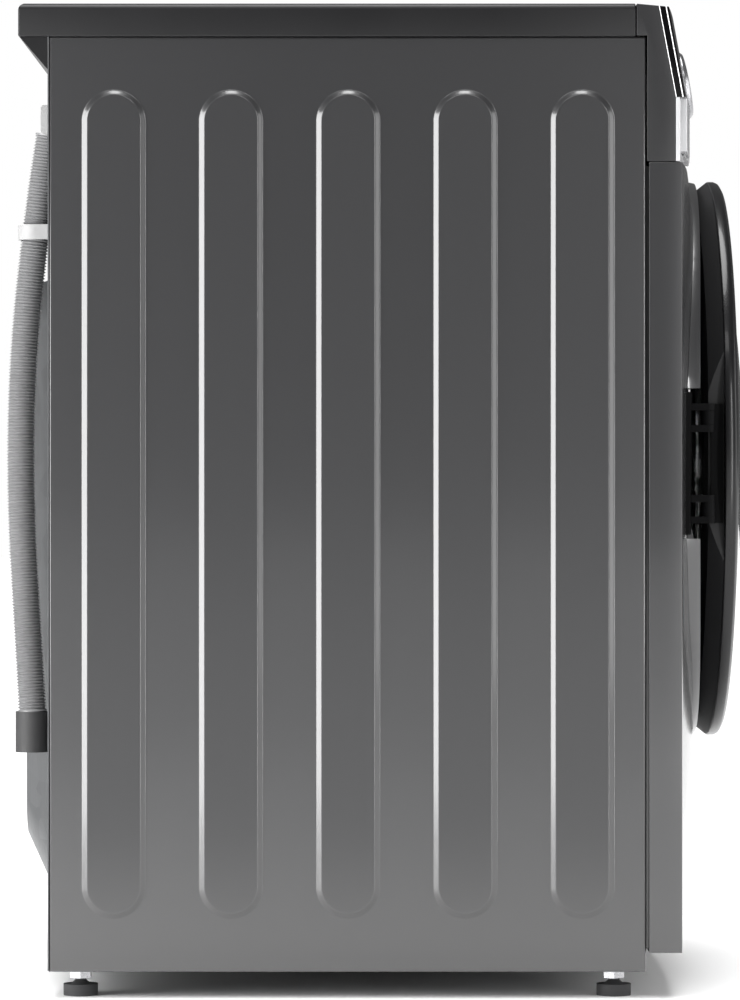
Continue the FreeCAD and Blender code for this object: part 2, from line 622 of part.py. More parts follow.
def make_feet():
    """Four screw feet with their lock nuts."""
    names = ("foot_rear_left", "foot_rear_right", "foot_front_left", "foot_front_right")
    floor = FOOT_ROOM + SHEET
    nuts = []
    for name, (x, forward) in zip(names, foot_places()):
        pad = post(FOOT_PAD_RADIUS, x, forward, 0, FOOT_PAD_HEIGHT)
        collar = Part.makeCone(9.0, FOOT_STEM, 3.0, point(x, forward, FOOT_PAD_HEIGHT))
        save(joined([pad, collar, post(FOOT_STEM, x, forward, FOOT_PAD_HEIGHT, floor + 24)]), name)
        nut = hexagon(17.5, x, forward, 15, floor - 2).fuse(post(13.0, x, forward, floor - 2, floor))
        nuts.append(nut.cut(post(FOOT_STEM + PIN_CLEARANCE, x, forward, 10, floor + 1)))
    save(group(nuts), "foot_nuts")


def make_tub():
    """Plastic tub, gasket, bearings, stator, heater, weights, springs and dampers."""
    inner = TUB_RADIUS - TUB_WALL
    hub = BEARING_RADIUS + 8
    rear = turned([(BEARING_RADIUS + 0.02, 62), (hub, 62), (hub, TUB_BACK), (TUB_RADIUS, TUB_BACK),
                   (TUB_RADIUS, TUB_JOINT), (inner, TUB_JOINT), (inner, TUB_BACK + TUB_WALL),
                   (BEARING_RADIUS + 0.02, TUB_BACK + TUB_WALL)])
    sump = block(-SUMP_HALF, SUMP_HALF, TUB_BACK + 20, TUB_JOINT - 5, AXIS_Z - TUB_RADIUS - SUMP_DEPTH,
                 AXIS_Z - TUB_RADIUS + 30)
    lugs = [block(side * SPRING_X - 10, side * SPRING_X + 10, SPRING_FORWARD - 8, SPRING_FORWARD + 8,
                  AXIS_Z + 60,
                  SPRING_BOTTOM) for side in (-1, 1)]
    rear = joined([rear] + [lug.cut(disc(inner + 1, 0, 400)) for lug in lugs]
                  + [sump.cut(disc(inner + 1, 0, 400))])
    rear = rear.cut(block(-76, 76, TUB_BACK + 24, TUB_JOINT - 9, AXIS_Z - TUB_RADIUS - 20, AXIS_Z - 225))
    save(rear, "tub_rear")

    front = turned([(TUB_RADIUS, TUB_JOINT), (TUB_RADIUS, TUB_FRONT), (NECK_RADIUS + 4, TUB_FRONT),
                    (NECK_RADIUS + 4, NECK_FRONT), (NECK_RADIUS, NECK_FRONT), (NECK_RADIUS,
                            TUB_FRONT - TUB_WALL),
                    (inner, TUB_FRONT - TUB_WALL), (inner, TUB_JOINT)])
    feet = [block(side * DAMPER_X - 10, side * DAMPER_X + 10, DAMPER_FORWARD - 10, DAMPER_FORWARD + 10,
                  DAMPER_TOP,
                  290).cut(disc(inner + SPARE, 0, FRONT_MIDDLE)) for side in (-1, 1)]
    save(joined([front] + feet), "tub_front")

    lip = PANEL_OPENING - RUN_GAP
    neck = NECK_RADIUS + 4
    save(turned([(neck, 466), (neck + 4, 466), (neck + 4, 484), (193, 494), (193, 509), (165, 518), (165,
            524),
                 (lip, 536), (lip, 548), (lip - 3, 548), (lip - 3, 538.5), (166, 528), (152.4, 541), (151,
                         539.5),
                 (162, 526), (162, 516), (190, 507), (190, 496), (177, 486), (neck, 484)]), "door_gasket")

    ring = [tube(BEARING_RADIUS, SHAFT_RADIUS + SHAFT_CLEARANCE, back,
                 back + BEARING_WIDTH) for back in (62.5, 80)]
    save(group(ring), "drum_bearings")
    save(tube(STATOR_RADIUS, hub + 0.05, 58, TUB_BACK - 6).fuse(tube(hub + 12, hub + 0.05, TUB_BACK - 6,
                                                                     TUB_BACK)), "stator")

    level = AXIS_Z - TUB_RADIUS - 5
    heater = [disc(HEATER_ROD, TUB_BACK + SUMP_DEPTH, HEATER_FRONT, side * HEATER_HALF,
                   level) for side in (-1, 1)]
    heater.append(Part.makeCylinder(HEATER_ROD, 2 * HEATER_HALF, point(-HEATER_HALF, HEATER_FRONT, level),
                                    FreeCAD.Vector(1, 0, 0)))
    save(joined(heater), "heater")

    weight = tube(WEIGHT_RADIUS, NECK_RADIUS + 30, TUB_FRONT, TUB_FRONT + WEIGHT_THICK)
    upper = block(-WIDTH / 2, WIDTH / 2, TUB_JOINT, FRONT_LIMIT, AXIS_Z + WEIGHT_CUT, HEIGHT)
    lower = block(-WIDTH / 2, WIDTH / 2, TUB_JOINT, FRONT_LIMIT, 0, AXIS_Z - WEIGHT_CUT)
    save(group([weight.common(upper), weight.common(lower)]), "counterweights")

    spring_top = SPRING_BEAM_TOP - BRACE_SHEET
    springs = [post(SPRING_RADIUS, side * SPRING_X, SPRING_FORWARD, SPRING_BOTTOM, spring_top).cut(
        post(SPRING_INNER, side * SPRING_X, SPRING_FORWARD, SPRING_BOTTOM - SPARE, spring_top + SPARE))
        for side in (-1, 1)]
    save(group(springs), "suspension_springs")
    dampers = []
    rod_top = DAMPER_TOP - 22
    for side in (-1, 1):
        x = side * DAMPER_X
        case = post(DAMPER_RADIUS, x, DAMPER_FORWARD, DAMPER_BOTTOM, DAMPER_TOP)
        dampers.append(case.cut(post(DAMPER_BORE, x, DAMPER_FORWARD, DAMPER_BOTTOM - SPARE,
                                     DAMPER_TOP - 6)))
        rod = post(DAMPER_ROD, x, DAMPER_FORWARD, FOOT_ROOM + SHEET + PAN_WALL, rod_top)
        piston = post(DAMPER_BORE - 0.1, x, DAMPER_FORWARD, rod_top - DAMPER_PISTON, rod_top)
        dampers.append(rod.fuse(piston))
    save(group(dampers), "dampers")


def make_drum():
    """Steel drum, its three lifters, the spider with its shaft, and the motor's rotor."""
    inner = DRUM_RADIUS - DRUM_WALL
    save(turned([(0, DRUM_BACK), (DRUM_RADIUS, DRUM_BACK), (DRUM_RADIUS, DRUM_FRONT), (DRUM_MOUTH,
            DRUM_FRONT),
                 (DRUM_MOUTH, DRUM_FRONT - DRUM_WALL), (inner, DRUM_FRONT - DRUM_WALL),
                 (inner, DRUM_BACK + DRUM_WALL), (0, DRUM_BACK + DRUM_WALL)]), "drum")
    lifters = []
    crest = AXIS_Z + inner - LIFTER_HEIGHT
    for turn in (0, 120, 240):
        base = block(-24, 24, DRUM_BACK + DRUM_WALL, DRUM_FRONT - DRUM_WALL - 2,
                     AXIS_Z + inner - LIFTER_HEIGHT,
                     AXIS_Z + inner)
        slopes = [edge for edge in base.Edges if abs(edge.CenterOfMass.z - crest) < 0.1
                  and abs(edge.Vertexes[0].Y - edge.Vertexes[1].Y) > 1]
        lifter = base.makeChamfer(16.0, slopes).common(disc(inner - 0.1, 0, 500))
        lifter.rotate(point(0, 0, AXIS_Z), FreeCAD.Vector(0, 1, 0), turn)
        lifters.append(lifter)
    save(group(lifters), "drum_lifters")
    arms = [disc(42, DRUM_BACK - 22, DRUM_BACK), disc(SHAFT_RADIUS, SHAFT_BACK, DRUM_BACK - 22)]
    for turn in (60, 180, 300):
        arm = block(-20, 20, DRUM_BACK - 16, DRUM_BACK, AXIS_Z + 30, AXIS_Z + DRUM_RADIUS - 6)
        arm.rotate(point(0, 0, AXIS_Z), FreeCAD.Vector(0, 1, 0), turn)
        arms.append(arm)
    save(joined(arms), "drum_spider")
    rotor_inner = STATOR_RADIUS + ROTOR_AIR_GAP
    bore = SHAFT_RADIUS + 0.02
    save(turned([(bore, 44), (rotor_inner + 5, 44), (rotor_inner + 5, 84), (rotor_inner, 84),
                 (rotor_inner, 47),
                 (24, 47), (24, 56), (bore, 56)]), "rotor")


def make_door():
    """Door ring, frame, glass bowl, domed cover, hinge arm, latch, bracket and lock."""
    back = DOOR_FRONT - RING_THICK
    save(turned([(RING_INNER, back), (DOOR_RADIUS - 1, back), (DOOR_RADIUS, back + 1), (DOOR_RADIUS,
            DOOR_FRONT - 6),
                 (DOOR_RADIUS - 1.5, DOOR_FRONT - 2.5), (DOOR_RADIUS - 6, DOOR_FRONT), (RING_INNER,
                         DOOR_FRONT)]),
         "door_ring")
    frame = cone(CONE_RADIUS, DOOR_RADIUS - 1, CONE_BACK, back).cut(disc(GLASS_RADIUS - 4, 500, 600))
    frame = frame.cut(tube(DOOR_RADIUS - 23, GLASS_RADIUS + 20, CONE_BACK + SHELL, 600))
    frame = frame.cut(block(-300, -HINGE_FLAT, 500, 600, 0, 900))
    grip = block(226, 300, 500, back - 3, AXIS_Z - 45, AXIS_Z + 45)
    web = block(222, 233, CONE_BACK, back, AXIS_Z - 50, AXIS_Z + 50)
    save(frame.fuse(web).cut(grip).removeSplitter(), "door_frame")
    glass = turned([(GLASS_RADIUS + 32, CONE_BACK), (GLASS_RADIUS + 32, CONE_BACK - 5), (GLASS_RADIUS,
            CONE_BACK - 5),
                    (GLASS_RADIUS - 4, 520), (132, 470), (100, GLASS_BACK), (0, GLASS_BACK - 4), (0,
                            GLASS_BACK),
                    (98, GLASS_BACK + GLASS_WALL), (128, 473), (GLASS_RADIUS - 8, 521), (GLASS_RADIUS - 4,
                            CONE_BACK)])
    save(glass, "door_glass")
    cap_radius = RING_INNER - RUN_GAP
    sphere_radius = (cap_radius ** 2 + COVER_CROWN ** 2) / (2 * COVER_CROWN)
    middle = point(0, DOOR_FRONT + COVER_CROWN - sphere_radius, AXIS_Z)
    cover = disc(cap_radius, back, 620).common(Part.makeSphere(sphere_radius, middle))
    hollow = disc(cap_radius - 4, back - 1, 620).common(Part.makeSphere(sphere_radius - 4, middle))
    save(cover.cut(hollow), "door_cover")

    half = BARREL_HEIGHT / 2
    reach = -HINGE_FLAT - HINGE_X
    arm = block(-HINGE_FLAT - 4, -HINGE_FLAT, CONE_BACK + 2, back - 1, HINGE_HEIGHTS[1] - 12,
                HINGE_HEIGHTS[0] + 12)
    lugs = []
    for height in HINGE_HEIGHTS:
        arm = arm.fuse(post(HINGE_BARREL, HINGE_X, HINGE_FORWARD, height - half, height + half))
        arm = arm.fuse(block(HINGE_X, HINGE_X + reach, HINGE_FORWARD - 5, HINGE_FORWARD + 5,
                             height - half, height + half))
        for low in (height - half - RUN_GAP - LUG_HEIGHT, height + half + RUN_GAP):
            lugs.append(post(HINGE_BARREL, HINGE_X, HINGE_FORWARD, low, low + LUG_HEIGHT).fuse(
                block(HINGE_X - HINGE_BARREL, HINGE_X + HINGE_BARREL, 548, HINGE_FORWARD, low,
                      low + LUG_HEIGHT)))
    pins = [post(HINGE_PIN, HINGE_X, HINGE_FORWARD, height - half - RUN_GAP - LUG_HEIGHT,
                 height + half + RUN_GAP + LUG_HEIGHT) for height in HINGE_HEIGHTS]
    bores = [post(HINGE_PIN + PIN_CLEARANCE, HINGE_X, HINGE_FORWARD, height - 30, height + 30)
             for height in HINGE_HEIGHTS]
    save(without(arm, bores), "door_hinge_arm")
    low, high = HINGE_HEIGHTS[1] - 22, HINGE_HEIGHTS[0] + 22
    solid_front = front_bulge(0.0, FRONT_SIDE_BACK, WIDTH / 2)
    plate = front_bulge(3.0, FRONT_SIDE_BACK, WIDTH / 2 + 5).cut(solid_front)
    plate = plate.common(block(HINGE_X - 14, HINGE_X + 6, 500, 600, low, high))
    bracket = joined([plate] + [lug.cut(solid_front) for lug in lugs])
    save(group([without(bracket, bores)] + pins), "hinge_bracket")

    hook = block(206, 214, 534, CONE_BACK, AXIS_Z - 8, AXIS_Z + 8).cut(
        block(205, 210, 538, 546, AXIS_Z - 9, AXIS_Z + 9))
    save(hook, "door_latch")
    lock = block(197, 232, 495, 543, AXIS_Z - 30, AXIS_Z + 30)
    save(lock.cut(block(200, 221, 520, 544, AXIS_Z - 12, AXIS_Z + 12)), "door_lock")


def make_pump():
    """Drain pump with its impeller and filter cap, and the hoses inside the cabinet."""
    body = tube(PUMP_RADIUS + 3, PUMP_RADIUS, 425, 500, FLAP_X, FLAP_Z)
    body = body.fuse(disc(PUMP_RADIUS + 3, 380, 425, FLAP_X, FLAP_Z))
    body = body.cut(disc(3 + PIN_CLEARANCE, 400, 430, FLAP_X, FLAP_Z))
    foot = block(FLAP_X - 20, FLAP_X + 20, 385, 490, FOOT_ROOM + SHEET + 2, FLAP_Z - PUMP_RADIUS - 1)
    save(joined([body, foot.cut(disc(PUMP_RADIUS + 1, 300, 600, FLAP_X, FLAP_Z))]), "pump_housing")
    wheel = disc(3, 402, 428, FLAP_X, FLAP_Z).fuse(disc(9, 428, 446, FLAP_X, FLAP_Z))
    for turn in range(0, 180, 45):
        vane = block(FLAP_X - IMPELLER_RADIUS, FLAP_X + IMPELLER_RADIUS, 430, 444, FLAP_Z - 1.2,
                     FLAP_Z + 1.2)
        vane.rotate(point(FLAP_X, 0, FLAP_Z), FreeCAD.Vector(0, 1, 0), turn)
        wheel = wheel.fuse(vane)
    save(wheel.removeSplitter(), "pump_impeller")
    cap = disc(PUMP_RADIUS + 3, 500.3, 505.5, FLAP_X, FLAP_Z).fuse(disc(PUMP_RADIUS - 0.1, 470, 500.3,
            FLAP_X, FLAP_Z))
    cap = cap.fuse(block(FLAP_X - 4, FLAP_X + 4, 505.5, 526, FLAP_Z - 22, FLAP_Z + 22))
    save(cap, "filter_cap")

    sump_bottom = AXIS_Z - TUB_RADIUS - SUMP_DEPTH
    hoses = [pipe(((0, 200, sump_bottom), (0, 200, FLAP_Z), (70, 455, FLAP_Z),
                   (FLAP_X - PUMP_RADIUS - 3, 455, FLAP_Z)), 14.0),
             Part.makeCylinder(12.0, DRAWER_BOTTOM - 663.5, point(-188, 400, 663.7 - 2.2)),
             pipe(((INLET_X, 44, INLET_Z), (INLET_X, 100, INLET_Z), (100, 170, 798), (-20, 310, 798),
                   (-50, 345, 775),
                   (DRAWER_LEFT + DRAWER_WIDTH - 0.5, 345, 775)), 7.0)]
    save(group(hoses), "inner_hoses")
    stub = disc(INLET_RADIUS, -SHEET - INLET_LENGTH, INLET_FLANGE, INLET_X, INLET_Z)
    stub = stub.fuse(disc(INLET_BOSS, -SHEET, 0, INLET_X, INLET_Z))
    stub = stub.cut(disc(INLET_BORE, -SHEET - INLET_LENGTH - SPARE, 0, INLET_X, INLET_Z))
    coil_box = block(INLET_X - VALVE_HALF, INLET_X + VALVE_HALF, INLET_FLANGE, VALVE_FRONT,
                     INLET_Z - VALVE_HALF, INLET_Z + VALVE_HALF)
    valve = joined([stub, disc(INLET_BOSS + 4, 0, INLET_FLANGE, INLET_X, INLET_Z), coil_box])
    save(valve, "inlet_valve")
    save(disc(8.0, -9, 4, GLAND_X, GLAND_Z).fuse(tube(11, 5, 0, 3, GLAND_X, GLAND_Z)).cut(
        disc(4.5, -10, 5, GLAND_X, GLAND_Z)), "power_gland")


def path(points):
    """Straight runs joined by the largest tangent arcs; gives the wire and the arcs' radii."""
    corners = [point(*place) for place in points]
    edges, radii, start = [], [], corners[0]
    for before, corner, after in zip(corners, corners[1:], corners[2:]):
        to_before, to_after = before - corner, after - corner
        turn = math.pi - to_before.getAngle(to_after)
        reach = 0.45 * min(to_before.Length, to_after.Length)
        radii.append(reach / math.tan(turn / 2))
        first = corner + FreeCAD.Vector(to_before).normalize() * reach
        last = corner + FreeCAD.Vector(to_after).normalize() * reach
        bisector = (FreeCAD.Vector(to_before).normalize() + FreeCAD.Vector(to_after).normalize()).normalize()
        middle = corner + bisector * (radii[-1] / math.cos(turn / 2) - radii[-1])
        edges.append(Part.LineSegment(start, first).toShape())
        edges.append(Part.Arc(first, middle, last).toShape())
        start = last
    edges.append(Part.LineSegment(start, corners[-1]).toShape())
    return Part.Wire(edges), radii


def pipe(points, radius):
    """A round solid along straight runs and tangent arcs."""
    wire, _ = path(points)
    start = wire.OrderedVertexes[0].Point
    direction = point(*points[1]) - point(*points[0])
    profile = Part.Wire([Part.makeCircle(radius, start, direction)])
    return wire.makePipeShell([profile], True, True)


def make_drain_hose():
    """Drain hose on the back with its holder, strap and end cuff."""
    x, start, top = HOSE_ROUTE[0]
    wire, radii = path(HOSE_ROUTE)
    hose = pipe(HOSE_ROUTE, HOSE_DIAMETER / 2)
    print("hose radii", [round(radius) for radius in radii])
    print("hose length", round(wire.Length, 1), "volume ratio",
          round(hose.Volume / (math.pi * (HOSE_DIAMETER / 2) ** 2 * wire.Length), 4))
    save(hose, "drain_hose")
    holder = block(x - 15, x + 17, -HOLDER_PROUD, 12, HOLDER_BOTTOM, HOLDER_TOP)
    lower = [edge for edge in holder.Edges if abs(edge.CenterOfMass.y - HOLDER_PROUD) < 0.1
             and abs(edge.Vertexes[0].X - edge.Vertexes[1].X) > 1]
    save(holder.makeFillet(3.0, lower).fuse(block(x - 21, x + 23, 0, 2, HOLDER_BOTTOM - 4,
                                                  HOLDER_TOP + 6)).cut(
        block(x - 22, x + 24, -0.1, 3, 0, HOLDER_BOTTOM)), "hose_holder")
    middle = -STRAP_PROUD + STRAP_THICK + HOSE_DIAMETER / 2 + STRAP_ROOM
    inner = HOSE_DIAMETER / 2 + STRAP_ROOM
    outer = inner + STRAP_THICK
    loop = post(outer, x, middle, STRAP_BOTTOM, STRAP_TOP).fuse(
        block(x - outer, x + outer, middle, -SHEET, STRAP_BOTTOM, STRAP_TOP))
    room = post(inner, x, middle, STRAP_BOTTOM - 1, STRAP_TOP + 1).fuse(
        block(x - inner, x + inner, middle, 5, STRAP_BOTTOM - 1, STRAP_TOP + 1))
    foot = block(x - outer - 6, x - inner, -SHEET - 2, -SHEET, STRAP_BOTTOM, STRAP_TOP)
    save(joined([loop.cut(room), foot]), "hose_strap")
    end_x, end, end_z = HOSE_ROUTE[-1]
    cuff = post(CUFF_RADIUS, end_x, end, end_z - CUFF_LENGTH, end_z)
    save(cuff.cut(post(CUFF_RADIUS - 4, end_x, end, end_z - CUFF_LENGTH - 1, end_z - 3)), "hose_cuff")


def main():
    os.makedirs("parts", exist_ok=True)
    make_cabinet()
    make_worktop()
    make_front()
    make_console()
    make_drawer()
    make_feet()
    make_tub()
    make_drum()
    make_door()
    make_pump()
    make_drain_hose()


main()
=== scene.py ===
import json
import logging
import math
from dataclasses import dataclass
from enum import Enum
from typing import Callable, Optional, Sequence, Union

import bpy
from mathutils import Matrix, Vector


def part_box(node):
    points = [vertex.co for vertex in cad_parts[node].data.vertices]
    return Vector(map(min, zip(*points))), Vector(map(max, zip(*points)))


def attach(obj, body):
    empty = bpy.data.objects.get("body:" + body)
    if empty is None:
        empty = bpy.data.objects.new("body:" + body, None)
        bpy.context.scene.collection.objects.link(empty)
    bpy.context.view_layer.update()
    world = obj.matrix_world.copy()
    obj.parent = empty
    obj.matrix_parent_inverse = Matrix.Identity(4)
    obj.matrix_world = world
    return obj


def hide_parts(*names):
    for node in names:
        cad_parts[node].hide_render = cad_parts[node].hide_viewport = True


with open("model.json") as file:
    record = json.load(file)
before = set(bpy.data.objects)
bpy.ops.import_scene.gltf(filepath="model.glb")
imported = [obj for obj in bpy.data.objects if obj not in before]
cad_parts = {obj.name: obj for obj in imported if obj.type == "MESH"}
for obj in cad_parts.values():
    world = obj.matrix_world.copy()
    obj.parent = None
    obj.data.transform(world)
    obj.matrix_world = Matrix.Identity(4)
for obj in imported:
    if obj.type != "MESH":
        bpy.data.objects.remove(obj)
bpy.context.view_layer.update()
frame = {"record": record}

LOG = logging.getLogger("washing_machine")
Number = Union[float, "Signal"]
Colour = tuple[float, float, float]
Place = tuple[float, float, float]
# Where the cabinet's back plane stands along Y, in metres.
BACK_PLANE = 0.29125
# How nearly a face's normal points along X to count as facing that way.
FACING = 0.9


def toned(colour: Colour, share: float, lift: float = 0.0) -> Colour:
    """Lighten or darken a colour.

    Args:
        colour: the colour to start from.
        share: what each channel is multiplied by.
        lift: what is added to each channel.

    Returns:
        The new colour, no brighter than white.
    """
    return tuple(min(1.0, part * share + lift) for part in colour)


class Grain(Enum):
    """The direction that a brushed or ribbed finish runs in."""

    ALONG_X = (60.0, 1.0, 1.0)
    ALONG_Y = (1.0, 60.0, 1.0)
    ALONG_Z = (1.0, 1.0, 60.0)


class Signal:
    """One output socket of a material, with shader maths written as Python expressions."""

    def __init__(self, recipe: "Recipe", socket: bpy.types.NodeSocket) -> None:
        """Keep the recipe and the socket."""
        self.recipe = recipe
        self.socket = socket

    def maths(self, operation: str, *values: Number) -> "Signal":
        """Add one Math node.

        Args:
            operation: the Math node's operation.
            values: its inputs in order.

        Returns:
            The node's output.
        """
        return self.recipe.node("ShaderNodeMath", {"operation": operation}, dict(enumerate(values)))

    def __add__(self, other: Number) -> "Signal":
        """Sum."""
        return self.maths("ADD", self, other)

    def __radd__(self, other: Number) -> "Signal":
        """Sum with the number first."""
        return self.maths("ADD", other, self)

    def __sub__(self, other: Number) -> "Signal":
        """Difference."""
        return self.maths("SUBTRACT", self, other)

    def __rsub__(self, other: Number) -> "Signal":
        """Difference with the number first."""
        return self.maths("SUBTRACT", other, self)

    def __mul__(self, other: Number) -> "Signal":
        """Product."""
        return self.maths("MULTIPLY", self, other)

    def __rmul__(self, other: Number) -> "Signal":
        """Product with the number first."""
        return self.maths("MULTIPLY", other, self)

    def __neg__(self) -> "Signal":
        """Negative."""
        return self.maths("MULTIPLY", self, -1.0)

    def __lt__(self, other: Number) -> "Signal":
        """One where this is below the other, else zero."""
        return self.maths("LESS_THAN", self, other)

    def __gt__(self, other: Number) -> "Signal":
        """One where this is above the other, else zero."""
        return self.maths("GREATER_THAN", self, other)

    def __abs__(self) -> "Signal":
        """Size without sign."""
        return self.maths("ABSOLUTE", self)


class Recipe:
    """A procedural material under construction."""

    def __init__(self, name: str) -> None:
        """Start a material with its shader and output."""
        self.material = bpy.data.materials.new(name)
        self.material.use_nodes = True
        self.tree = self.material.node_tree
        self.tree.nodes.clear()
        self.shader = self.tree.nodes.new("ShaderNodeBsdfPrincipled")
        output = self.tree.nodes.new("ShaderNodeOutputMaterial")
        self.tree.links.new(self.shader.outputs["BSDF"], output.inputs["Surface"])

    def node(self, kind: str, settings: Optional[dict] = None, inputs: Optional[dict] = None,
             output: Union[int, str] = 0) -> Signal:
        """Add any node.

        Args:
            kind: the node's type name.
            settings: attributes that are set first.
            inputs: values or signals by socket name or number.
            output: which output to return.

        Returns:
            The chosen output.
        """
        made = self.tree.nodes.new(kind)
        for key, value in (settings or {}).items():
            setattr(made, key, value)
        for key, value in (inputs or {}).items():
            if isinstance(value, Signal):
                self.tree.links.new(value.socket, made.inputs[key])
            else:
                made.inputs[key].default_value = value
        return Signal(self, made.outputs[output])

    def place(self) -> Signal:
        """Object coordinates."""
        return self.node("ShaderNodeTexCoord", output="Object")

    def axes(self) -> tuple[Signal, Signal, Signal]:
        """Object coordinates as three numbers."""
        split = self.tree.nodes.new("ShaderNodeSeparateXYZ")
        self.tree.links.new(self.place().socket, split.inputs[0])
        return tuple(Signal(self, socket) for socket in split.outputs)

    def noise(self, scale: float, detail: float = 3.0, stretch: Place = (1.0, 1.0, 1.0)) -> Signal:
        """Noise in the object's own space.

        Args:
            scale: lumps per metre.
            detail: octaves.
            stretch: scale along each axis.

        Returns:
            The noise value, about 0.5 on average.
        """
        spot = self.node("ShaderNodeMapping", {}, {"Vector": self.place(), "Scale": stretch})
        return self.node("ShaderNodeTexNoise", {}, {"Vector": spot, "Scale": scale, "Detail": detail}, "Fac")

    def mixed(self, factor: Number, first: Union[Colour, Signal], second: Union[Colour, Signal]) -> Signal:
        """Mix two colours by a factor.

        Args:
            factor: share of the second colour.
            first: a colour or a signal.
            second: a colour or a signal.

        Returns:
            The mixed colour.
        """
        ends = [(*end, 1.0) if isinstance(end, tuple) else end for end in (first, second)]
        return self.node("ShaderNodeMix", {"data_type": "RGBA", "blend_type": "MIX"},
                         {0: factor, 6: ends[0], 7: ends[1]}, 2)

    def bump(self, height: Signal, strength: float, distance: float) -> None:
        """Feed the shader's normal from a height.

        Args:
            height: the height signal.
            strength: how strongly it shows, 0 to 1.
            distance: the height of a full step, in metres.
        """
        inputs = {"Height": height, "Strength": strength, "Distance": distance}
        normal = self.node("ShaderNodeBump", {}, inputs, "Normal")
        self.set("Normal", normal)

    def set(self, socket: str, value: Union[float, Colour, Signal]) -> None:
        """Set or link one input of the shader.

        Args:
            socket: the input's name.
            value: a number, a colour or a signal.
        """
        if isinstance(value, Signal):
            self.tree.links.new(value.socket, self.shader.inputs[socket])
        elif isinstance(value, tuple) and len(value) == 3 and socket.endswith("Color"):
            self.shader.inputs[socket].default_value = (*value, 1.0)
        else:
            self.shader.inputs[socket].default_value = value


@dataclass(frozen=True)
class PaintedSheet:
    """Baked graphite paint on pressed sheet, with fine metal flake, orange peel and painted floor-bounce
    light that pales it towards the bottom.
    """

    colour: Colour
    roughness: float = 0.36
    flake: float = 0.10
    flake_tone: float = 2.6
    # Painted floor-bounce light: the sheet's colour pales a little towards the bottom.
    floor_glow_from: float = 0.02
    floor_glow_to: float = 0.16
    floor_glow_share: float = 0.05
    floor_glow_colour: Colour = (0.32, 0.31, 0.30)

    def build(self, name: str) -> bpy.types.Material:
        """Make the material.

        Args:
            name: the material's name.

        Returns:
            The material.
        """
        recipe = Recipe(name)
        flakes = recipe.noise(2600.0, 1.0)
        cloud = recipe.noise(3.0, 2.0)
        _, _, up = recipe.axes()
        # Painted light: a little pale grey mixed in near the floor stands in for light bounced up off the
        # floor.
        floor_glow = recipe.node("ShaderNodeMapRange", {"interpolation_type": "SMOOTHSTEP"},
                           {0: up, 1: self.floor_glow_from, 2: self.floor_glow_to, 3: self.floor_glow_share, 4: 0.0})
        shade = recipe.mixed(flakes * self.flake, self.colour, toned(self.colour, self.flake_tone))
        recipe.set("Base Color", recipe.mixed(floor_glow, shade, self.floor_glow_colour))
        recipe.set("Roughness", cloud * 0.05 + (self.roughness - 0.02))
        recipe.set("Metallic", 0.15)
        recipe.set("Coat Weight", 0.9)
        recipe.set("Coat Roughness", 0.13)
        recipe.bump(recipe.noise(420.0, 2.0), 0.04, 0.0005)
        return recipe.material


@dataclass(frozen=True)
class MouldedPlastic:
    """Plastic with a spark-eroded grain."""

    colour: Colour
    roughness: float = 0.5
    grain: float = 0.10
    gloss_coat: float = 0.0
    shine: float = 0.5

    def build(self, name: str) -> bpy.types.Material:
        """Make the material.

        Args:
            name: the material's name.

        Returns:
            The material.
        """
        recipe = Recipe(name)
        cloud = recipe.noise(9.0, 3.0)
        recipe.set("Base Color", recipe.mixed(cloud, toned(self.colour, 0.82), toned(self.colour, 1.12)))
        recipe.set("Roughness", cloud * 0.12 + (self.roughness - 0.06))
        recipe.set("Coat Weight", self.gloss_coat)
        recipe.set("Specular IOR Level", self.shine)
        recipe.set("Coat Roughness", 0.06)
        recipe.bump(recipe.noise(1400.0, 2.0), self.grain, 0.0004)
        return recipe.material


@dataclass(frozen=True)
class GlossBezel:
    """Piano-finish plastic that shows faint wipe marks."""

    colour: Colour
    roughness: float = 0.12
    shine: float = 0.5

    def build(self, name: str) -> bpy.types.Material:
        """Make the material.

        Args:
            name: the material's name.

        Returns:
            The material.
        """
        recipe = Recipe(name)
        wipe = recipe.noise(14.0, 4.0, (1.0, 3.0, 0.6))
        recipe.set("Base Color", recipe.mixed(wipe * 0.3, self.colour, toned(self.colour, 1.5)))
        recipe.set("Roughness", wipe * 0.10 + (self.roughness - 0.05))
        recipe.set("Coat Weight", 0.15)
        recipe.set("Specular IOR Level", self.shine)
        recipe.set("Coat Roughness", 0.05)
        return recipe.material


@dataclass(frozen=True)
class ConsoleGlass:
    """Black fascia slab with two painted highlight lines down each side edge."""

    lean: float = 15.0 / 80.0
    lean_foot: float = 0.770
    highlight_ahead: float = 0.5412 - BACK_PLANE
    highlight_half: float = 0.00042
    seam_ahead: float = 0.5354 - BACK_PLANE
    seam_half: float = 0.00035
    half_width: float = 0.2992
    black: Colour = (0.002, 0.002, 0.0022)
    worn_black: Colour = (0.005, 0.005, 0.0055)
    # The pale colour of the painted highlight lines.
    highlight_colour: Colour = (0.85, 0.85, 0.86)

    def build(self, name: str) -> bpy.types.Material:
        """Make the material; the painted highlight lines follow the leaning side edge of the slab.

        Args:
            name: the material's name.

        Returns:
            The material.
        """
        recipe = Recipe(name)
        across, along, up = recipe.axes()
        ahead = -along + (up - self.lean_foot) * self.lean
        on_end = abs(across) > self.half_width
        # Painted highlights: pale lines where the slab's front edge and its seam catch the light.
        edge_highlight = abs(ahead - self.highlight_ahead) < self.highlight_half
        seam_highlight = abs(ahead - self.seam_ahead) < self.seam_half
        line = (edge_highlight + seam_highlight) * on_end
        wipe = recipe.noise(12.0, 3.0)
        shade = recipe.mixed(wipe * 0.4, self.black, self.worn_black)
        recipe.set("Base Color", recipe.mixed(line, shade, self.highlight_colour))
        recipe.set("Roughness", wipe * 0.08 + 0.12)
        recipe.set("Specular IOR Level", 0.12)
        return recipe.material


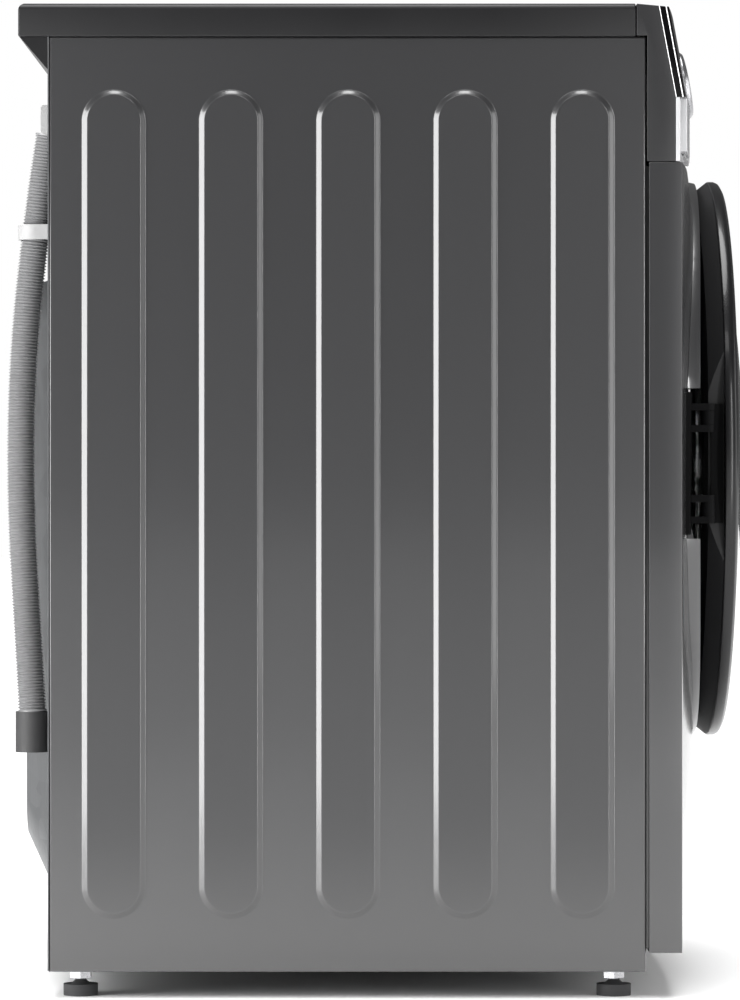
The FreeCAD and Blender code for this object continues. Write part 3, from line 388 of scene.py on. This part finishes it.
@dataclass(frozen=True)
class Metal:
    """Bare or plated metal, brushed one way."""

    colour: Colour
    roughness: float = 0.34
    grain: Grain = Grain.ALONG_Z
    spangle: float = 0.0

    def build(self, name: str) -> bpy.types.Material:
        """Make the material.

        Args:
            name: the material's name.

        Returns:
            The material.
        """
        recipe = Recipe(name)
        stretch = tuple(1.0 / part if part > 1.0 else 1.0 for part in self.grain.value)
        streaks = recipe.noise(700.0, 3.0, stretch)
        crystals = recipe.node("ShaderNodeTexVoronoi", {}, {"Vector": recipe.place(), "Scale": 55.0}, "Color")
        level = recipe.node("ShaderNodeSeparateColor", {}, {"Color": crystals})
        shade = recipe.mixed(level * self.spangle, self.colour, toned(self.colour, 0.55))
        recipe.set("Base Color", recipe.mixed(streaks * 0.25, shade, toned(self.colour, 0.7)))
        recipe.set("Metallic", 0.9)
        recipe.set("Roughness", streaks * 0.14 + (self.roughness - 0.07))
        recipe.bump(streaks, 0.05, 0.0003)
        return recipe.material


@dataclass(frozen=True)
class PerforatedSteel:
    """Polished drum steel with rows of punched holes about the drum's axis, the holes painted dark as the
    shade behind them.
    """

    axis_height: float
    pitch: float
    hole_radius: float
    shell_radius: float
    bright: Colour = (0.72, 0.72, 0.74)
    dull: Colour = (0.5, 0.5, 0.52)
    # Painted shade inside the punched holes.
    hole_shade_colour: Colour = (0.02, 0.02, 0.022)
    dimple: float = 0.48

    def build(self, name: str) -> bpy.types.Material:
        """Make the material.

        Args:
            name: the material's name.

        Returns:
            The material.
        """
        recipe = Recipe(name)
        across, along, up = recipe.axes()
        angle = across.maths("ARCTAN2", across, up - self.axis_height)
        around = angle * (self.shell_radius / self.pitch)
        rows = along * (1.0 / self.pitch)
        stagger = rows.maths("MODULO", rows.maths("FLOOR", rows), 2.0)
        first = around.maths("FRACT", around + stagger * 0.5) - 0.5
        second = rows.maths("FRACT", rows) - 0.5
        apart = first.maths("SQRT", first * first + second * second)
        hole = apart < self.hole_radius / self.pitch
        sheen = recipe.noise(260.0, 2.0, (1.0, 0.05, 1.0))
        steel = recipe.mixed(sheen * 0.3, self.bright, self.dull)
        # Painted shade: the holes are coloured near black for the dark behind them, not cut through.
        recipe.set("Base Color", recipe.mixed(hole, steel, self.hole_shade_colour))
        recipe.set("Metallic", 1.0 - hole)
        recipe.set("Roughness", sheen * 0.12 + 0.2)
        rounded = recipe.node("ShaderNodeMapRange", {"interpolation_type": "SMOOTHSTEP"},
                              {0: apart, 1: self.hole_radius / self.pitch, 2: self.dimple, 3: 0.0, 4: 1.0})
        recipe.bump(rounded, 0.4, 0.0012)
        return recipe.material


@dataclass(frozen=True)
class Rubber:
    """Matt rubber or soft plastic with a bloom."""

    colour: Colour
    roughness: float = 0.75

    def build(self, name: str) -> bpy.types.Material:
        """Make the material.

        Args:
            name: the material's name.

        Returns:
            The material.
        """
        recipe = Recipe(name)
        bloom = recipe.noise(30.0, 4.0)
        recipe.set("Base Color", recipe.mixed(bloom * 0.5, self.colour, toned(self.colour, 1.5, 0.01)))
        recipe.set("Roughness", bloom * 0.15 + (self.roughness - 0.08))
        recipe.bump(recipe.noise(900.0, 2.0), 0.12, 0.0004)
        return recipe.material


@dataclass(frozen=True)
class Glazing:
    """Clear or smoked glazing."""

    tint: Colour
    roughness: float = 0.03
    clear: float = 1.0

    def build(self, name: str) -> bpy.types.Material:
        """Make the material.

        Args:
            name: the material's name.

        Returns:
            The material.
        """
        recipe = Recipe(name)
        haze = recipe.noise(6.0, 2.0)
        recipe.set("Base Color", recipe.mixed(haze * 0.15, self.tint, toned(self.tint, 0.9)))
        recipe.set("Roughness", haze * 0.02 + self.roughness)
        recipe.set("Transmission Weight", self.clear)
        recipe.set("IOR", 1.45)
        return recipe.material


@dataclass(frozen=True)
class RoughCasting:
    """Cast iron, concrete or a soldered board, with coarse lumps."""

    colour: Colour
    metallic: float = 0.0
    lumps: float = 260.0

    def build(self, name: str) -> bpy.types.Material:
        """Make the material.

        Args:
            name: the material's name.

        Returns:
            The material.
        """
        recipe = Recipe(name)
        lumps = recipe.noise(self.lumps, 6.0)
        recipe.set("Base Color", recipe.mixed(lumps, toned(self.colour, 0.6), self.colour))
        recipe.set("Roughness", lumps * 0.3 + 0.55)
        recipe.set("Metallic", self.metallic)
        recipe.bump(lumps, 0.4, 0.001)
        return recipe.material


@dataclass
class Workshop:
    """Turns mesh work done with operators into finished pieces of the machine."""

    body: str = "cabinet"

    @staticmethod
    def clear_selection() -> None:
        """Leave edit mode and deselect everything."""
        if bpy.context.object and bpy.context.object.mode != "OBJECT":
            bpy.ops.object.mode_set(mode="OBJECT")
        bpy.ops.object.select_all(action="DESELECT")

    def start(self, name: str) -> bpy.types.Object:
        """Name the primitive that was just added and seat its place in its mesh.

        Args:
            name: the piece's name.

        Returns:
            The piece.
        """
        piece = bpy.context.object
        piece.name = name
        piece.data.name = name
        bpy.ops.object.transform_apply(location=True, rotation=True, scale=True)
        return piece

    @staticmethod
    def edit(piece: bpy.types.Object, chosen: Callable[[bpy.types.MeshPolygon], bool]) -> None:
        """Enter edit mode with the chosen faces selected.

        Args:
            piece: the piece to edit.
            chosen: tells whether a face is selected.
        """
        bpy.ops.object.mode_set(mode="EDIT")
        bpy.ops.mesh.select_mode(type="FACE")
        bpy.ops.mesh.select_all(action="DESELECT")
        bpy.ops.object.mode_set(mode="OBJECT")
        for face in piece.data.polygons:
            face.select = chosen(face)
        bpy.ops.object.mode_set(mode="EDIT")

    @staticmethod
    def apply(piece: bpy.types.Object, kind: str, **settings: object) -> None:
        """Add a modifier with its settings and apply it.

        Args:
            piece: the piece that it shapes.
            kind: the modifier's type.
            settings: its settings by name.
        """
        bpy.context.view_layer.objects.active = piece
        modifier = piece.modifiers.new(kind.title(), kind)
        for key, value in settings.items():
            setattr(modifier, key, value)
        bpy.ops.object.modifier_apply(modifier=modifier.name)

    def finish(self, piece: bpy.types.Object, material: bpy.types.Material, slot: str,
               body: Optional[str] = None, angle: float = 35.0, turn_out: bool = True) -> bpy.types.Object:
        """Shade, dress and hang a finished piece on its body.

        Args:
            piece: the finished mesh.
            material: its finish.
            slot: the record's material slot; not used.
            body: the body that it rides on, or None for the workshop's own.
            angle: edges sharper than this many degrees stay sharp.
            turn_out: whether the faces still have to be turned outwards.

        Returns:
            The piece.
        """
        self.clear_selection()
        piece.select_set(True)
        bpy.context.view_layer.objects.active = piece
        if turn_out:
            bpy.ops.object.mode_set(mode="EDIT")
            bpy.ops.mesh.select_all(action="SELECT")
            bpy.ops.mesh.normals_make_consistent(inside=False)
            bpy.ops.object.mode_set(mode="OBJECT")
        bpy.ops.object.shade_smooth_by_angle(angle=math.radians(angle))
        piece.data.materials.clear()
        piece.data.materials.append(material)
        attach(piece, body or self.body)
        piece.select_set(False)
        LOG.info("made %s, %d faces", piece.name, len(piece.data.polygons))
        return piece


@dataclass
class Finishes:
    """Every finish of the machine by its slot, and the dressing of the CAD nodes."""

    made: dict[str, bpy.types.Material]

    @staticmethod
    def slots() -> dict[str, str]:
        """The record's material slot of each node."""
        return {part["node"]: part["material_slot"] for part in frame["record"]["subparts"]}

    @classmethod
    def mix(cls) -> "Finishes":
        """Make all the materials."""
        drum_low, drum_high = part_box("drum")
        recipes = {
            "cabinet_paint": PaintedSheet((0.0155, 0.0155, 0.0165)),
            "flap_plastic": MouldedPlastic((0.028, 0.028, 0.030), 0.4),
            "zinc_sheet": Metal((0.15, 0.154, 0.158), 0.44, Grain.ALONG_Z, 0.4),
            # Painted shade: the base sheet is kept this dark to deepen the shadow under the machine.
            "base_sheet": Metal((0.06, 0.06, 0.062), 0.42, Grain.ALONG_X, 0.3),
            "top_plastic": MouldedPlastic((0.006, 0.006, 0.0065), 0.40, 0.05, 0.0, 0.22),
            "top_board": MouldedPlastic((0.060, 0.060, 0.063), 0.38, 0.18),
            "console_plastic": MouldedPlastic((0.013, 0.013, 0.0138), 0.38, 0.04, 0.05, 0.3),
            "black_gloss": ConsoleGlass(),
            "bright_trim": MouldedPlastic((0.42, 0.42, 0.43), 0.24, 0.02, 0.5),
            "board_green": RoughCasting((0.03, 0.16, 0.07)),
            "knob_metal": Metal((0.30, 0.30, 0.31), 0.26, Grain.ALONG_X),
            "button_plastic": GlossBezel((0.04, 0.04, 0.042)),
            "white_plastic": MouldedPlastic((0.27, 0.27, 0.27), 0.5, 0.10, 0.0, 0.3),
            "black_plastic": MouldedPlastic((0.005, 0.005, 0.0055), 0.55, 0.12, 0.0, 0.3),
            "black_rubber": Rubber((0.015, 0.015, 0.016)),
            "hose_grey": MouldedPlastic((0.17, 0.17, 0.173), 0.36, 0.03, 0.2),
            "cuff_rubber": Rubber((0.013, 0.013, 0.0135), 0.65),
            "tub_plastic": MouldedPlastic((0.48, 0.49, 0.50), 0.55, 0.2),
            "gasket_rubber": Rubber((0.20, 0.20, 0.21), 0.6),
            "steel": Metal((0.36, 0.36, 0.37), 0.28, Grain.ALONG_Y),
            "copper": Metal((0.55, 0.24, 0.10), 0.35, Grain.ALONG_Y),
            "weight_iron": RoughCasting((0.26, 0.25, 0.24), 0.2, 180.0),
            "damper_metal": Metal((0.16, 0.16, 0.17), 0.4, Grain.ALONG_Z),
            "stainless": PerforatedSteel((drum_low[2] + drum_high[2]) / 2, pitch=0.022, hole_radius=0.0028,
                                         shell_radius=0.243),
            "spider_alloy": RoughCasting((0.55, 0.55, 0.56), 0.8, 320.0),
            "ring_gloss": GlossBezel((0.005, 0.005, 0.0055), 0.28, 0.2),
            "glass": Glazing((0.93, 0.96, 0.97)),
            "smoked_glass": Glazing((0.05, 0.05, 0.055), 0.04, 0.75),
            "hinge_metal": MouldedPlastic((0.002, 0.002, 0.0022), 0.6, 0.08, 0.0, 0.05),
            "foot_rubber": Rubber((0.018, 0.018, 0.019)),
        }
        return cls({slot: recipe.build(slot) for slot, recipe in recipes.items()})

    def dress_nodes(self) -> None:
        """Give every CAD node its finish."""
        for node, slot in self.slots().items():
            target = bpy.data.objects[node]
            if not target.material_slots:
                target.data.materials.append(None)
            for place in target.material_slots:
                place.material = self.made[slot]


@dataclass
class DrainHose:
    """The corrugated drain hose on the back, which follows the CAD route."""

    workshop: Workshop
    finishes: Finishes
    diameter: float = 0.025
    pitch: float = 0.0027
    depth: float = 0.0019
    sides: int = 36
    plain_rings: int = 3
    waves: tuple[float, ...] = (0.0, 0.55, 1.0, 0.55)
    route: tuple[Place, ...] = (
        (-0.238, -0.0030, 0.742), (-0.238, -0.0090, 0.705), (-0.238, -0.0160, 0.650),
        (-0.238, -0.0230, 0.590), (-0.238, -0.0273, 0.525), (-0.238, -0.0285, 0.460),
        (-0.238, -0.0270, 0.395), (-0.238, -0.0239, 0.340), (-0.238, -0.0209, 0.290),
        (-0.238, -0.0182, 0.243))

    def spline(self, name: str) -> bpy.types.Object:
        """Lay the route as one smooth spline.

        Args:
            name: the curve's name.

        Returns:
            The curve object.
        """
        curve = bpy.data.curves.new(name, "CURVE")
        curve.dimensions = "3D"
        curve.resolution_u = 24
        line = curve.splines.new("NURBS")
        line.points.add(len(self.route) - 1)
        for spot, (across, ahead, up) in zip(line.points, self.route):
            spot.co = (across, BACK_PLANE - ahead, up, 1.0)
        line.order_u = 3
        line.use_endpoint_u = True
        made = bpy.data.objects.new(name, curve)
        bpy.context.scene.collection.objects.link(made)
        return made

    def centreline(self) -> list[Vector]:
        """Points read from the smooth spline."""
        guide = self.spline("hose_guide")
        mesh = bpy.data.meshes.new_from_object(guide)
        points = [vertex.co.copy() for vertex in mesh.vertices]
        bpy.data.meshes.remove(mesh)
        bpy.data.objects.remove(guide)
        return points

    @staticmethod
    def spaced(points: Sequence[Vector], step: float) -> list[Vector]:
        """Walk along a line of points in equal steps.

        Args:
            points: the line.
            step: distance between the new points.

        Returns:
            Points a step apart, with the line's own end.
        """
        walked, spare = [points[0].copy()], step
        for first, second in zip(points, points[1:]):
            run = (second - first).length
            while spare <= run:
                walked.append(first.lerp(second, spare / run))
                spare += step
            spare -= run
        walked.append(points[-1].copy())
        return walked

    def build(self) -> bpy.types.Object:
        line = self.centreline()
        step = self.pitch / len(self.waves)
        rings = self.spaced(line, step)
        if (rings[-1] - rings[-2]).length < step / 4:
            rings.pop(-2)
        outer = self.diameter / 2
        vertices, faces = [], []
        across = Vector((1.0, 0.0, 0.0))
        for index, centre in enumerate(rings):
            ahead = (rings[min(index + 1, len(rings) - 1)] - rings[max(index - 1, 0)]).normalized()
            second = ahead.cross(across).normalized()
            plain = index < self.plain_rings or index >= len(rings) - self.plain_rings
            radius = outer if plain else outer - self.depth * self.waves[index % len(self.waves)]
            for side in range(self.sides):
                turn = 2 * math.pi * side / self.sides
                vertices.append(centre + (across * math.cos(turn) + second * math.sin(turn)) * radius)
        for ring in range(len(rings) - 1):
            for side in range(self.sides):
                after = (side + 1) % self.sides
                low, high = ring * self.sides, (ring + 1) * self.sides
                faces.append((low + side, low + after, high + after, high + side))
        last = (len(rings) - 1) * self.sides
        faces.append(tuple(range(self.sides))[::-1])
        faces.append(tuple(range(last, last + self.sides)))
        mesh = bpy.data.meshes.new("drain_hose_tube")
        mesh.from_pydata(vertices, [], faces)
        hose = bpy.data.objects.new("drain_hose_tube", mesh)
        bpy.context.scene.collection.objects.link(hose)
        self.workshop.finish(hose, self.finishes.made["hose_grey"], "hose_grey", angle=60.0)
        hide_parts("drain_hose")
        return hose


@dataclass
class Suspension:
    """The two coil springs that carry the tub."""

    workshop: Workshop
    finishes: Finishes
    wire: float = 0.0016
    wire_sides: int = 10
    turns: int = 17
    steps_per_turn: int = 24

    def build(self) -> bpy.types.Object:
        """Wind the coils with a screw from one wire section and stand one on each side."""
        low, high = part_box("suspension_springs")
        centre_y = (low[1] + high[1]) / 2
        radius = (high[1] - low[1]) / 2 - self.wire
        rise = high[2] - low[2] - 2 * self.wire
        made = []
        for side in (-1, 1):
            self.workshop.clear_selection()
            axis_x = side * (high[0] - (high[1] - low[1]) / 2)
            bpy.ops.mesh.primitive_circle_add(vertices=self.wire_sides, radius=self.wire, fill_type="NOTHING",
                                              location=(axis_x + radius, centre_y, low[2] + self.wire),
                                              rotation=(math.pi / 2, 0.0, 0.0))
            coil = self.workshop.start("suspension_coil")
            bpy.context.scene.cursor.location = (axis_x, centre_y, 0.0)
            bpy.ops.object.origin_set(type="ORIGIN_CURSOR")
            steps = self.steps_per_turn * self.turns
            self.workshop.apply(coil, "SCREW", angle=2 * math.pi * self.turns, screw_offset=rise,
                                steps=steps, render_steps=steps, use_merge_vertices=False)
            bpy.ops.object.transform_apply(location=True, rotation=True, scale=True)
            bpy.ops.object.mode_set(mode="EDIT")
            bpy.ops.mesh.select_all(action="SELECT")
            bpy.ops.mesh.fill_holes(sides=0)
            bpy.ops.object.mode_set(mode="OBJECT")
            made.append(coil)
        self.workshop.clear_selection()
        for coil in made:
            coil.select_set(True)
        bpy.context.view_layer.objects.active = made[0]
        bpy.ops.object.join()
        bpy.context.scene.cursor.location = (0.0, 0.0, 0.0)
        springs = bpy.context.object
        springs.name = "suspension_coils"
        self.workshop.finish(springs, self.finishes.made["steel"], "steel", angle=80.0)
        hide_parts("suspension_springs")
        return springs


@dataclass
class PressedPanels:
    """The folded side panels, whose upright fields rise in one soft S-shaped slope."""

    workshop: Workshop
    finishes: Finishes
    sheet: float = 0.001
    fold: float = 0.0026
    fold_segments: int = 5
    field_count: int = 5
    field_width: float = 0.056
    flat_width: float = 0.044
    proud: float = 0.003
    first_field: float = 0.0555
    pitch: float = 0.100
    field_bottom: float = 0.068
    field_top: float = 0.777
    steps: int = 12
    turn_share: float = 0.25
    seat: float = 0.0005
    end_sides: int = 96

    def sheet_metal(self, node: str, side: int) -> bpy.types.Object:
        """Fold one panel from a box with its inner face taken away.

        Args:
            node: the CAD node that gives its place.
            side: which side of the machine, -1 or 1.

        Returns:
            The panel with rounded folds and a wall.
        """
        low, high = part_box(node)
        inner, face = min(abs(low[0]), abs(high[0])), max(abs(low[0]), abs(high[0])) - self.proud
        size = (face - inner, high[1] - low[1], high[2] - low[2])
        middle = (side * (face + inner) / 2, (low[1] + high[1]) / 2, (low[2] + high[2]) / 2)
        self.workshop.clear_selection()
        bpy.ops.mesh.primitive_cube_add(size=1.0, location=middle, scale=size)
        panel = self.workshop.start(node + "_pressed")
        self.workshop.edit(panel, lambda polygon: polygon.normal.x * side < -FACING)
        bpy.ops.mesh.delete(type="FACE")
        self.workshop.edit(panel, lambda polygon: polygon.normal.x * side > FACING)
        bpy.ops.mesh.bevel(offset=self.fold, segments=self.fold_segments, affect="EDGES")
        bpy.ops.object.mode_set(mode="OBJECT")
        self.workshop.apply(panel, "SOLIDIFY", thickness=self.sheet, offset=-1.0, use_even_offset=True)
        return panel

    def slope_at(self, part: float) -> float:
        """Follow the S-shaped slope, with both turns rounded.

        Args:
            part: share of the slope's width, 0 to 1.

        Returns:
            Share of the rise reached there.
        """
        turn = self.turn_share
        if part < turn:
            return part * part / (2 * turn * (1 - turn))
        if part > 1 - turn:
            return 1 - self.slope_at(1 - part)
        return (part - turn / 2) / (1 - turn)

    def field(self, side: int, face: float, along: float) -> bpy.types.Object:
        """Press one upright field by drawing a disc out tall and insetting its face in small rising steps.

        Args:
            side: which side of the machine, -1 or 1.
            face: how far out the flat of the panel stands.
            along: the field's place from front to back.

        Returns:
            The raised field.
        """
        radius = self.field_width / 2
        middle = (self.field_bottom + self.field_top) / 2
        self.workshop.clear_selection()
        bpy.ops.mesh.primitive_cylinder_add(vertices=self.end_sides, radius=radius, depth=2 * self.seat,
                                            location=(side * (face - self.seat), along, middle),
                                            rotation=(0.0, math.pi / 2, 0.0))
        field = self.workshop.start("field")
        reach = (self.field_top - self.field_bottom) / 2 - radius
        for way in (-1, 1):
            bpy.ops.object.mode_set(mode="EDIT")
            bpy.ops.mesh.select_mode(type="VERT")
            bpy.ops.mesh.select_all(action="DESELECT")
            bpy.ops.object.mode_set(mode="OBJECT")
            for vertex in field.data.vertices:
                vertex.select = (vertex.co.z - middle) * way > radius * 0.01
            bpy.ops.object.mode_set(mode="EDIT")
            bpy.ops.transform.translate(value=(0.0, 0.0, way * reach))
            bpy.ops.object.mode_set(mode="OBJECT")
        self.workshop.edit(field, lambda polygon: polygon.normal.x * side > FACING)
        slope = (self.field_width - self.flat_width) / 2
        rises = [self.proud * self.slope_at(step / self.steps) for step in range(self.steps + 1)]
        for lower, upper in zip(rises, rises[1:]):
            bpy.ops.mesh.inset(thickness=slope / self.steps, depth=upper - lower, use_even_offset=True)
        bpy.ops.mesh.inset(thickness=self.seat, depth=0.0)
        bpy.ops.object.mode_set(mode="OBJECT")
        return field

    def build(self) -> bpy.types.Object:
        """Make both panels with their fields joined on."""
        for node, side in (("side_panel_left", -1), ("side_panel_right", 1)):
            low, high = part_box(node)
            face = max(abs(low[0]), abs(high[0])) - self.proud
            panel = self.sheet_metal(node, side)
            places = [high[1] - self.first_field - index * self.pitch for index in range(self.field_count)]
            fields = [self.field(side, face, along) for along in places]
            self.workshop.clear_selection()
            for piece in (panel, *fields):
                piece.select_set(True)
            bpy.context.view_layer.objects.active = panel
            bpy.ops.object.join()
            self.workshop.finish(panel, self.finishes.made["cabinet_paint"], "cabinet_paint", angle=40.0)
            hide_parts(node)
        return panel


@dataclass
class EasedParts:
    """Mouldings and pressings whose hard edges are eased, as their tools leave them."""

    workshop: Workshop
    finishes: Finishes
    widths: tuple[tuple[str, float], ...] = (
        ("front_panel", 0.0022), ("console_housing", 0.0010), ("console_fascia", 0.0006),
        ("console_trim", 0.0006), ("worktop_surround", 0.0012), ("worktop_board", 0.0010),
        ("door_surround", 0.0012), ("door_ring", 0.0012), ("drawer_front", 0.0006),
        ("program_knob", 0.0005), ("base_pan", 0.0010))
    merge_within: float = 0.00002
    flat_angle: float = 0.4
    hard_angle: float = 32.0
    smooth_angle: float = 28.0
    segments: int = 3

    def ease(self, node: str, width: float) -> bpy.types.Object:
        """Round the hard edges of a copy of one node.

        Args:
            node: the CAD node.
            width: how far the rounding reaches.

        Returns:
            The eased piece, on the node's own body.
        """
        self.workshop.clear_selection()
        source = bpy.data.objects[node]
        piece = bpy.data.objects.new(node + "_eased", source.data.copy())
        bpy.context.scene.collection.objects.link(piece)
        bpy.context.view_layer.objects.active = piece
        piece.select_set(True)
        bpy.ops.object.mode_set(mode="EDIT")
        bpy.ops.mesh.select_all(action="SELECT")
        bpy.ops.mesh.remove_doubles(threshold=self.merge_within)
        bpy.ops.mesh.dissolve_limited(angle_limit=math.radians(self.flat_angle))
        bpy.ops.object.mode_set(mode="OBJECT")
        self.workshop.apply(piece, "BEVEL", width=width, segments=self.segments, limit_method="ANGLE",
                            angle_limit=math.radians(self.hard_angle), use_clamp_overlap=True,
                            miter_outer="MITER_ARC")
        slot = self.finishes.slots()[node]
        self.workshop.finish(piece, self.finishes.made[slot], slot, self.body_of(node),
                             self.smooth_angle, False)
        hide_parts(node)
        return piece

    @staticmethod
    def body_of(node: str) -> str:
        """Find the body that a node rides on.

        Args:
            node: the CAD node.

        Returns:
            The body's name.
        """
        for body, nodes in frame["record"]["behaviour"]["bodies"].items():
            if node in nodes:
                return body
        return "cabinet"

    def build(self) -> bpy.types.Object:
        """Ease every listed part."""
        return [self.ease(node, width) for node, width in self.widths][-1]


@dataclass
class Studio:
    """Floor, soft lights and the camera at the side of the machine."""

    distance: float = 4.28
    eye_height: float = 0.426
    eye_along: float = 0.01705
    lens: float = 168.0
    room_light: float = 0.13
    overhead: float = 4.6
    sun_angle: float = 40.0
    floor_size: float = 60.0
    sensor: float = 36.0
    far_clip: float = 50.0

    def floor(self) -> None:
        """A plain pale floor."""
        Workshop.clear_selection()
        bpy.ops.mesh.primitive_plane_add(size=self.floor_size, location=(0.0, 0.0, 0.0))
        plane = bpy.context.object
        plane.name = "studio_floor"
        bpy.ops.object.transform_apply(location=True, rotation=True, scale=True)
        recipe = Recipe("studio_floor")
        cloud = recipe.noise(0.6, 1.0)
        recipe.set("Base Color", recipe.mixed(cloud * 0.1, (0.93, 0.93, 0.93), (0.9, 0.9, 0.9)))
        recipe.set("Roughness", 0.6)
        plane.data.materials.append(recipe.material)
        plane.select_set(False)

    @staticmethod
    def lamp(name: str, place: Place, aim: Place, size: tuple[float, float], power: float) -> None:
        """Hang one soft rectangular light.

        Args:
            name: its name.
            place: where it hangs.
            aim: the point that it faces.
            size: width and height.
            power: watts.
        """
        light = bpy.data.lights.new(name, "AREA")
        light.shape = "RECTANGLE"
        light.size, light.size_y = size
        light.energy = power
        holder = bpy.data.objects.new(name, light)
        holder.location = place
        holder.rotation_euler = (Vector(aim) - Vector(place)).to_track_quat("-Z", "Y").to_euler()
        holder.visible_camera = False
        bpy.context.scene.collection.objects.link(holder)

    def lights(self) -> None:
        """A room white to the camera and dim to the machine, a wide overhead sun and four soft lamps."""
        world = bpy.data.worlds.new("white_room")
        world.use_nodes = True
        nodes, links = world.node_tree.nodes, world.node_tree.links
        nodes["Background"].inputs["Color"].default_value = (1.0, 1.0, 1.0, 1.0)
        rays = nodes.new("ShaderNodeLightPath")
        level = nodes.new("ShaderNodeMapRange")
        links.new(rays.outputs["Is Camera Ray"], level.inputs[0])
        level.inputs[3].default_value = self.room_light
        level.inputs[4].default_value = 1.0
        links.new(level.outputs[0], nodes["Background"].inputs["Strength"])
        bpy.context.scene.world = world
        bpy.context.scene.view_settings.view_transform = "Standard"
        sun = bpy.data.lights.new("overhead_sun", "SUN")
        sun.energy = self.overhead
        sun.angle = math.radians(self.sun_angle)
        holder = bpy.data.objects.new("overhead_sun", sun)
        bpy.context.scene.collection.objects.link(holder)
        self.lamp("rear_softbox", (-1.05, 1.40, 0.62), (-0.3, 0.0, 0.45), (1.0, 1.4), 52.0)
        self.lamp("front_strip", (-1.55, -0.95, 0.60), (-0.3, -0.1, 0.45), (0.10, 1.4), 12.0)
        self.lamp("front_softbox", (-0.5, -2.6, 0.9), (0.0, -0.3, 0.5), (2.0, 1.6), 36.0)
        self.lamp("top_strip", (-1.5, 0.0, 2.0), (-0.3, 0.0, 0.8), (1.6, 0.3), 8.0)

    def camera(self) -> None:
        """Stand the camera square to the hinge side, near mid-height."""
        data = bpy.data.cameras.new("side_camera")
        data.lens = self.lens
        data.sensor_width = self.sensor
        data.clip_end = self.far_clip
        holder = bpy.data.objects.new("side_camera", data)
        holder.location = (-self.distance, self.eye_along, self.eye_height)
        holder.rotation_euler = (math.pi / 2, 0.0, -math.pi / 2)
        bpy.context.scene.collection.objects.link(holder)
        bpy.context.scene.camera = holder


def main() -> None:
    """Build the looks of every sub-assembly in order and report them."""
    logging.basicConfig(level=logging.INFO, format="%(message)s")
    studio = Studio()
    studio.camera()
    workshop = Workshop()
    finishes = Finishes.mix()
    finishes.dress_nodes()
    for assembly in (PressedPanels, EasedParts, DrainHose, Suspension):
        made = assembly(workshop, finishes).build()
        LOG.info("built %s", made.name)
    studio.floor()
    studio.lights()


if __name__ == "__main__":
    main()
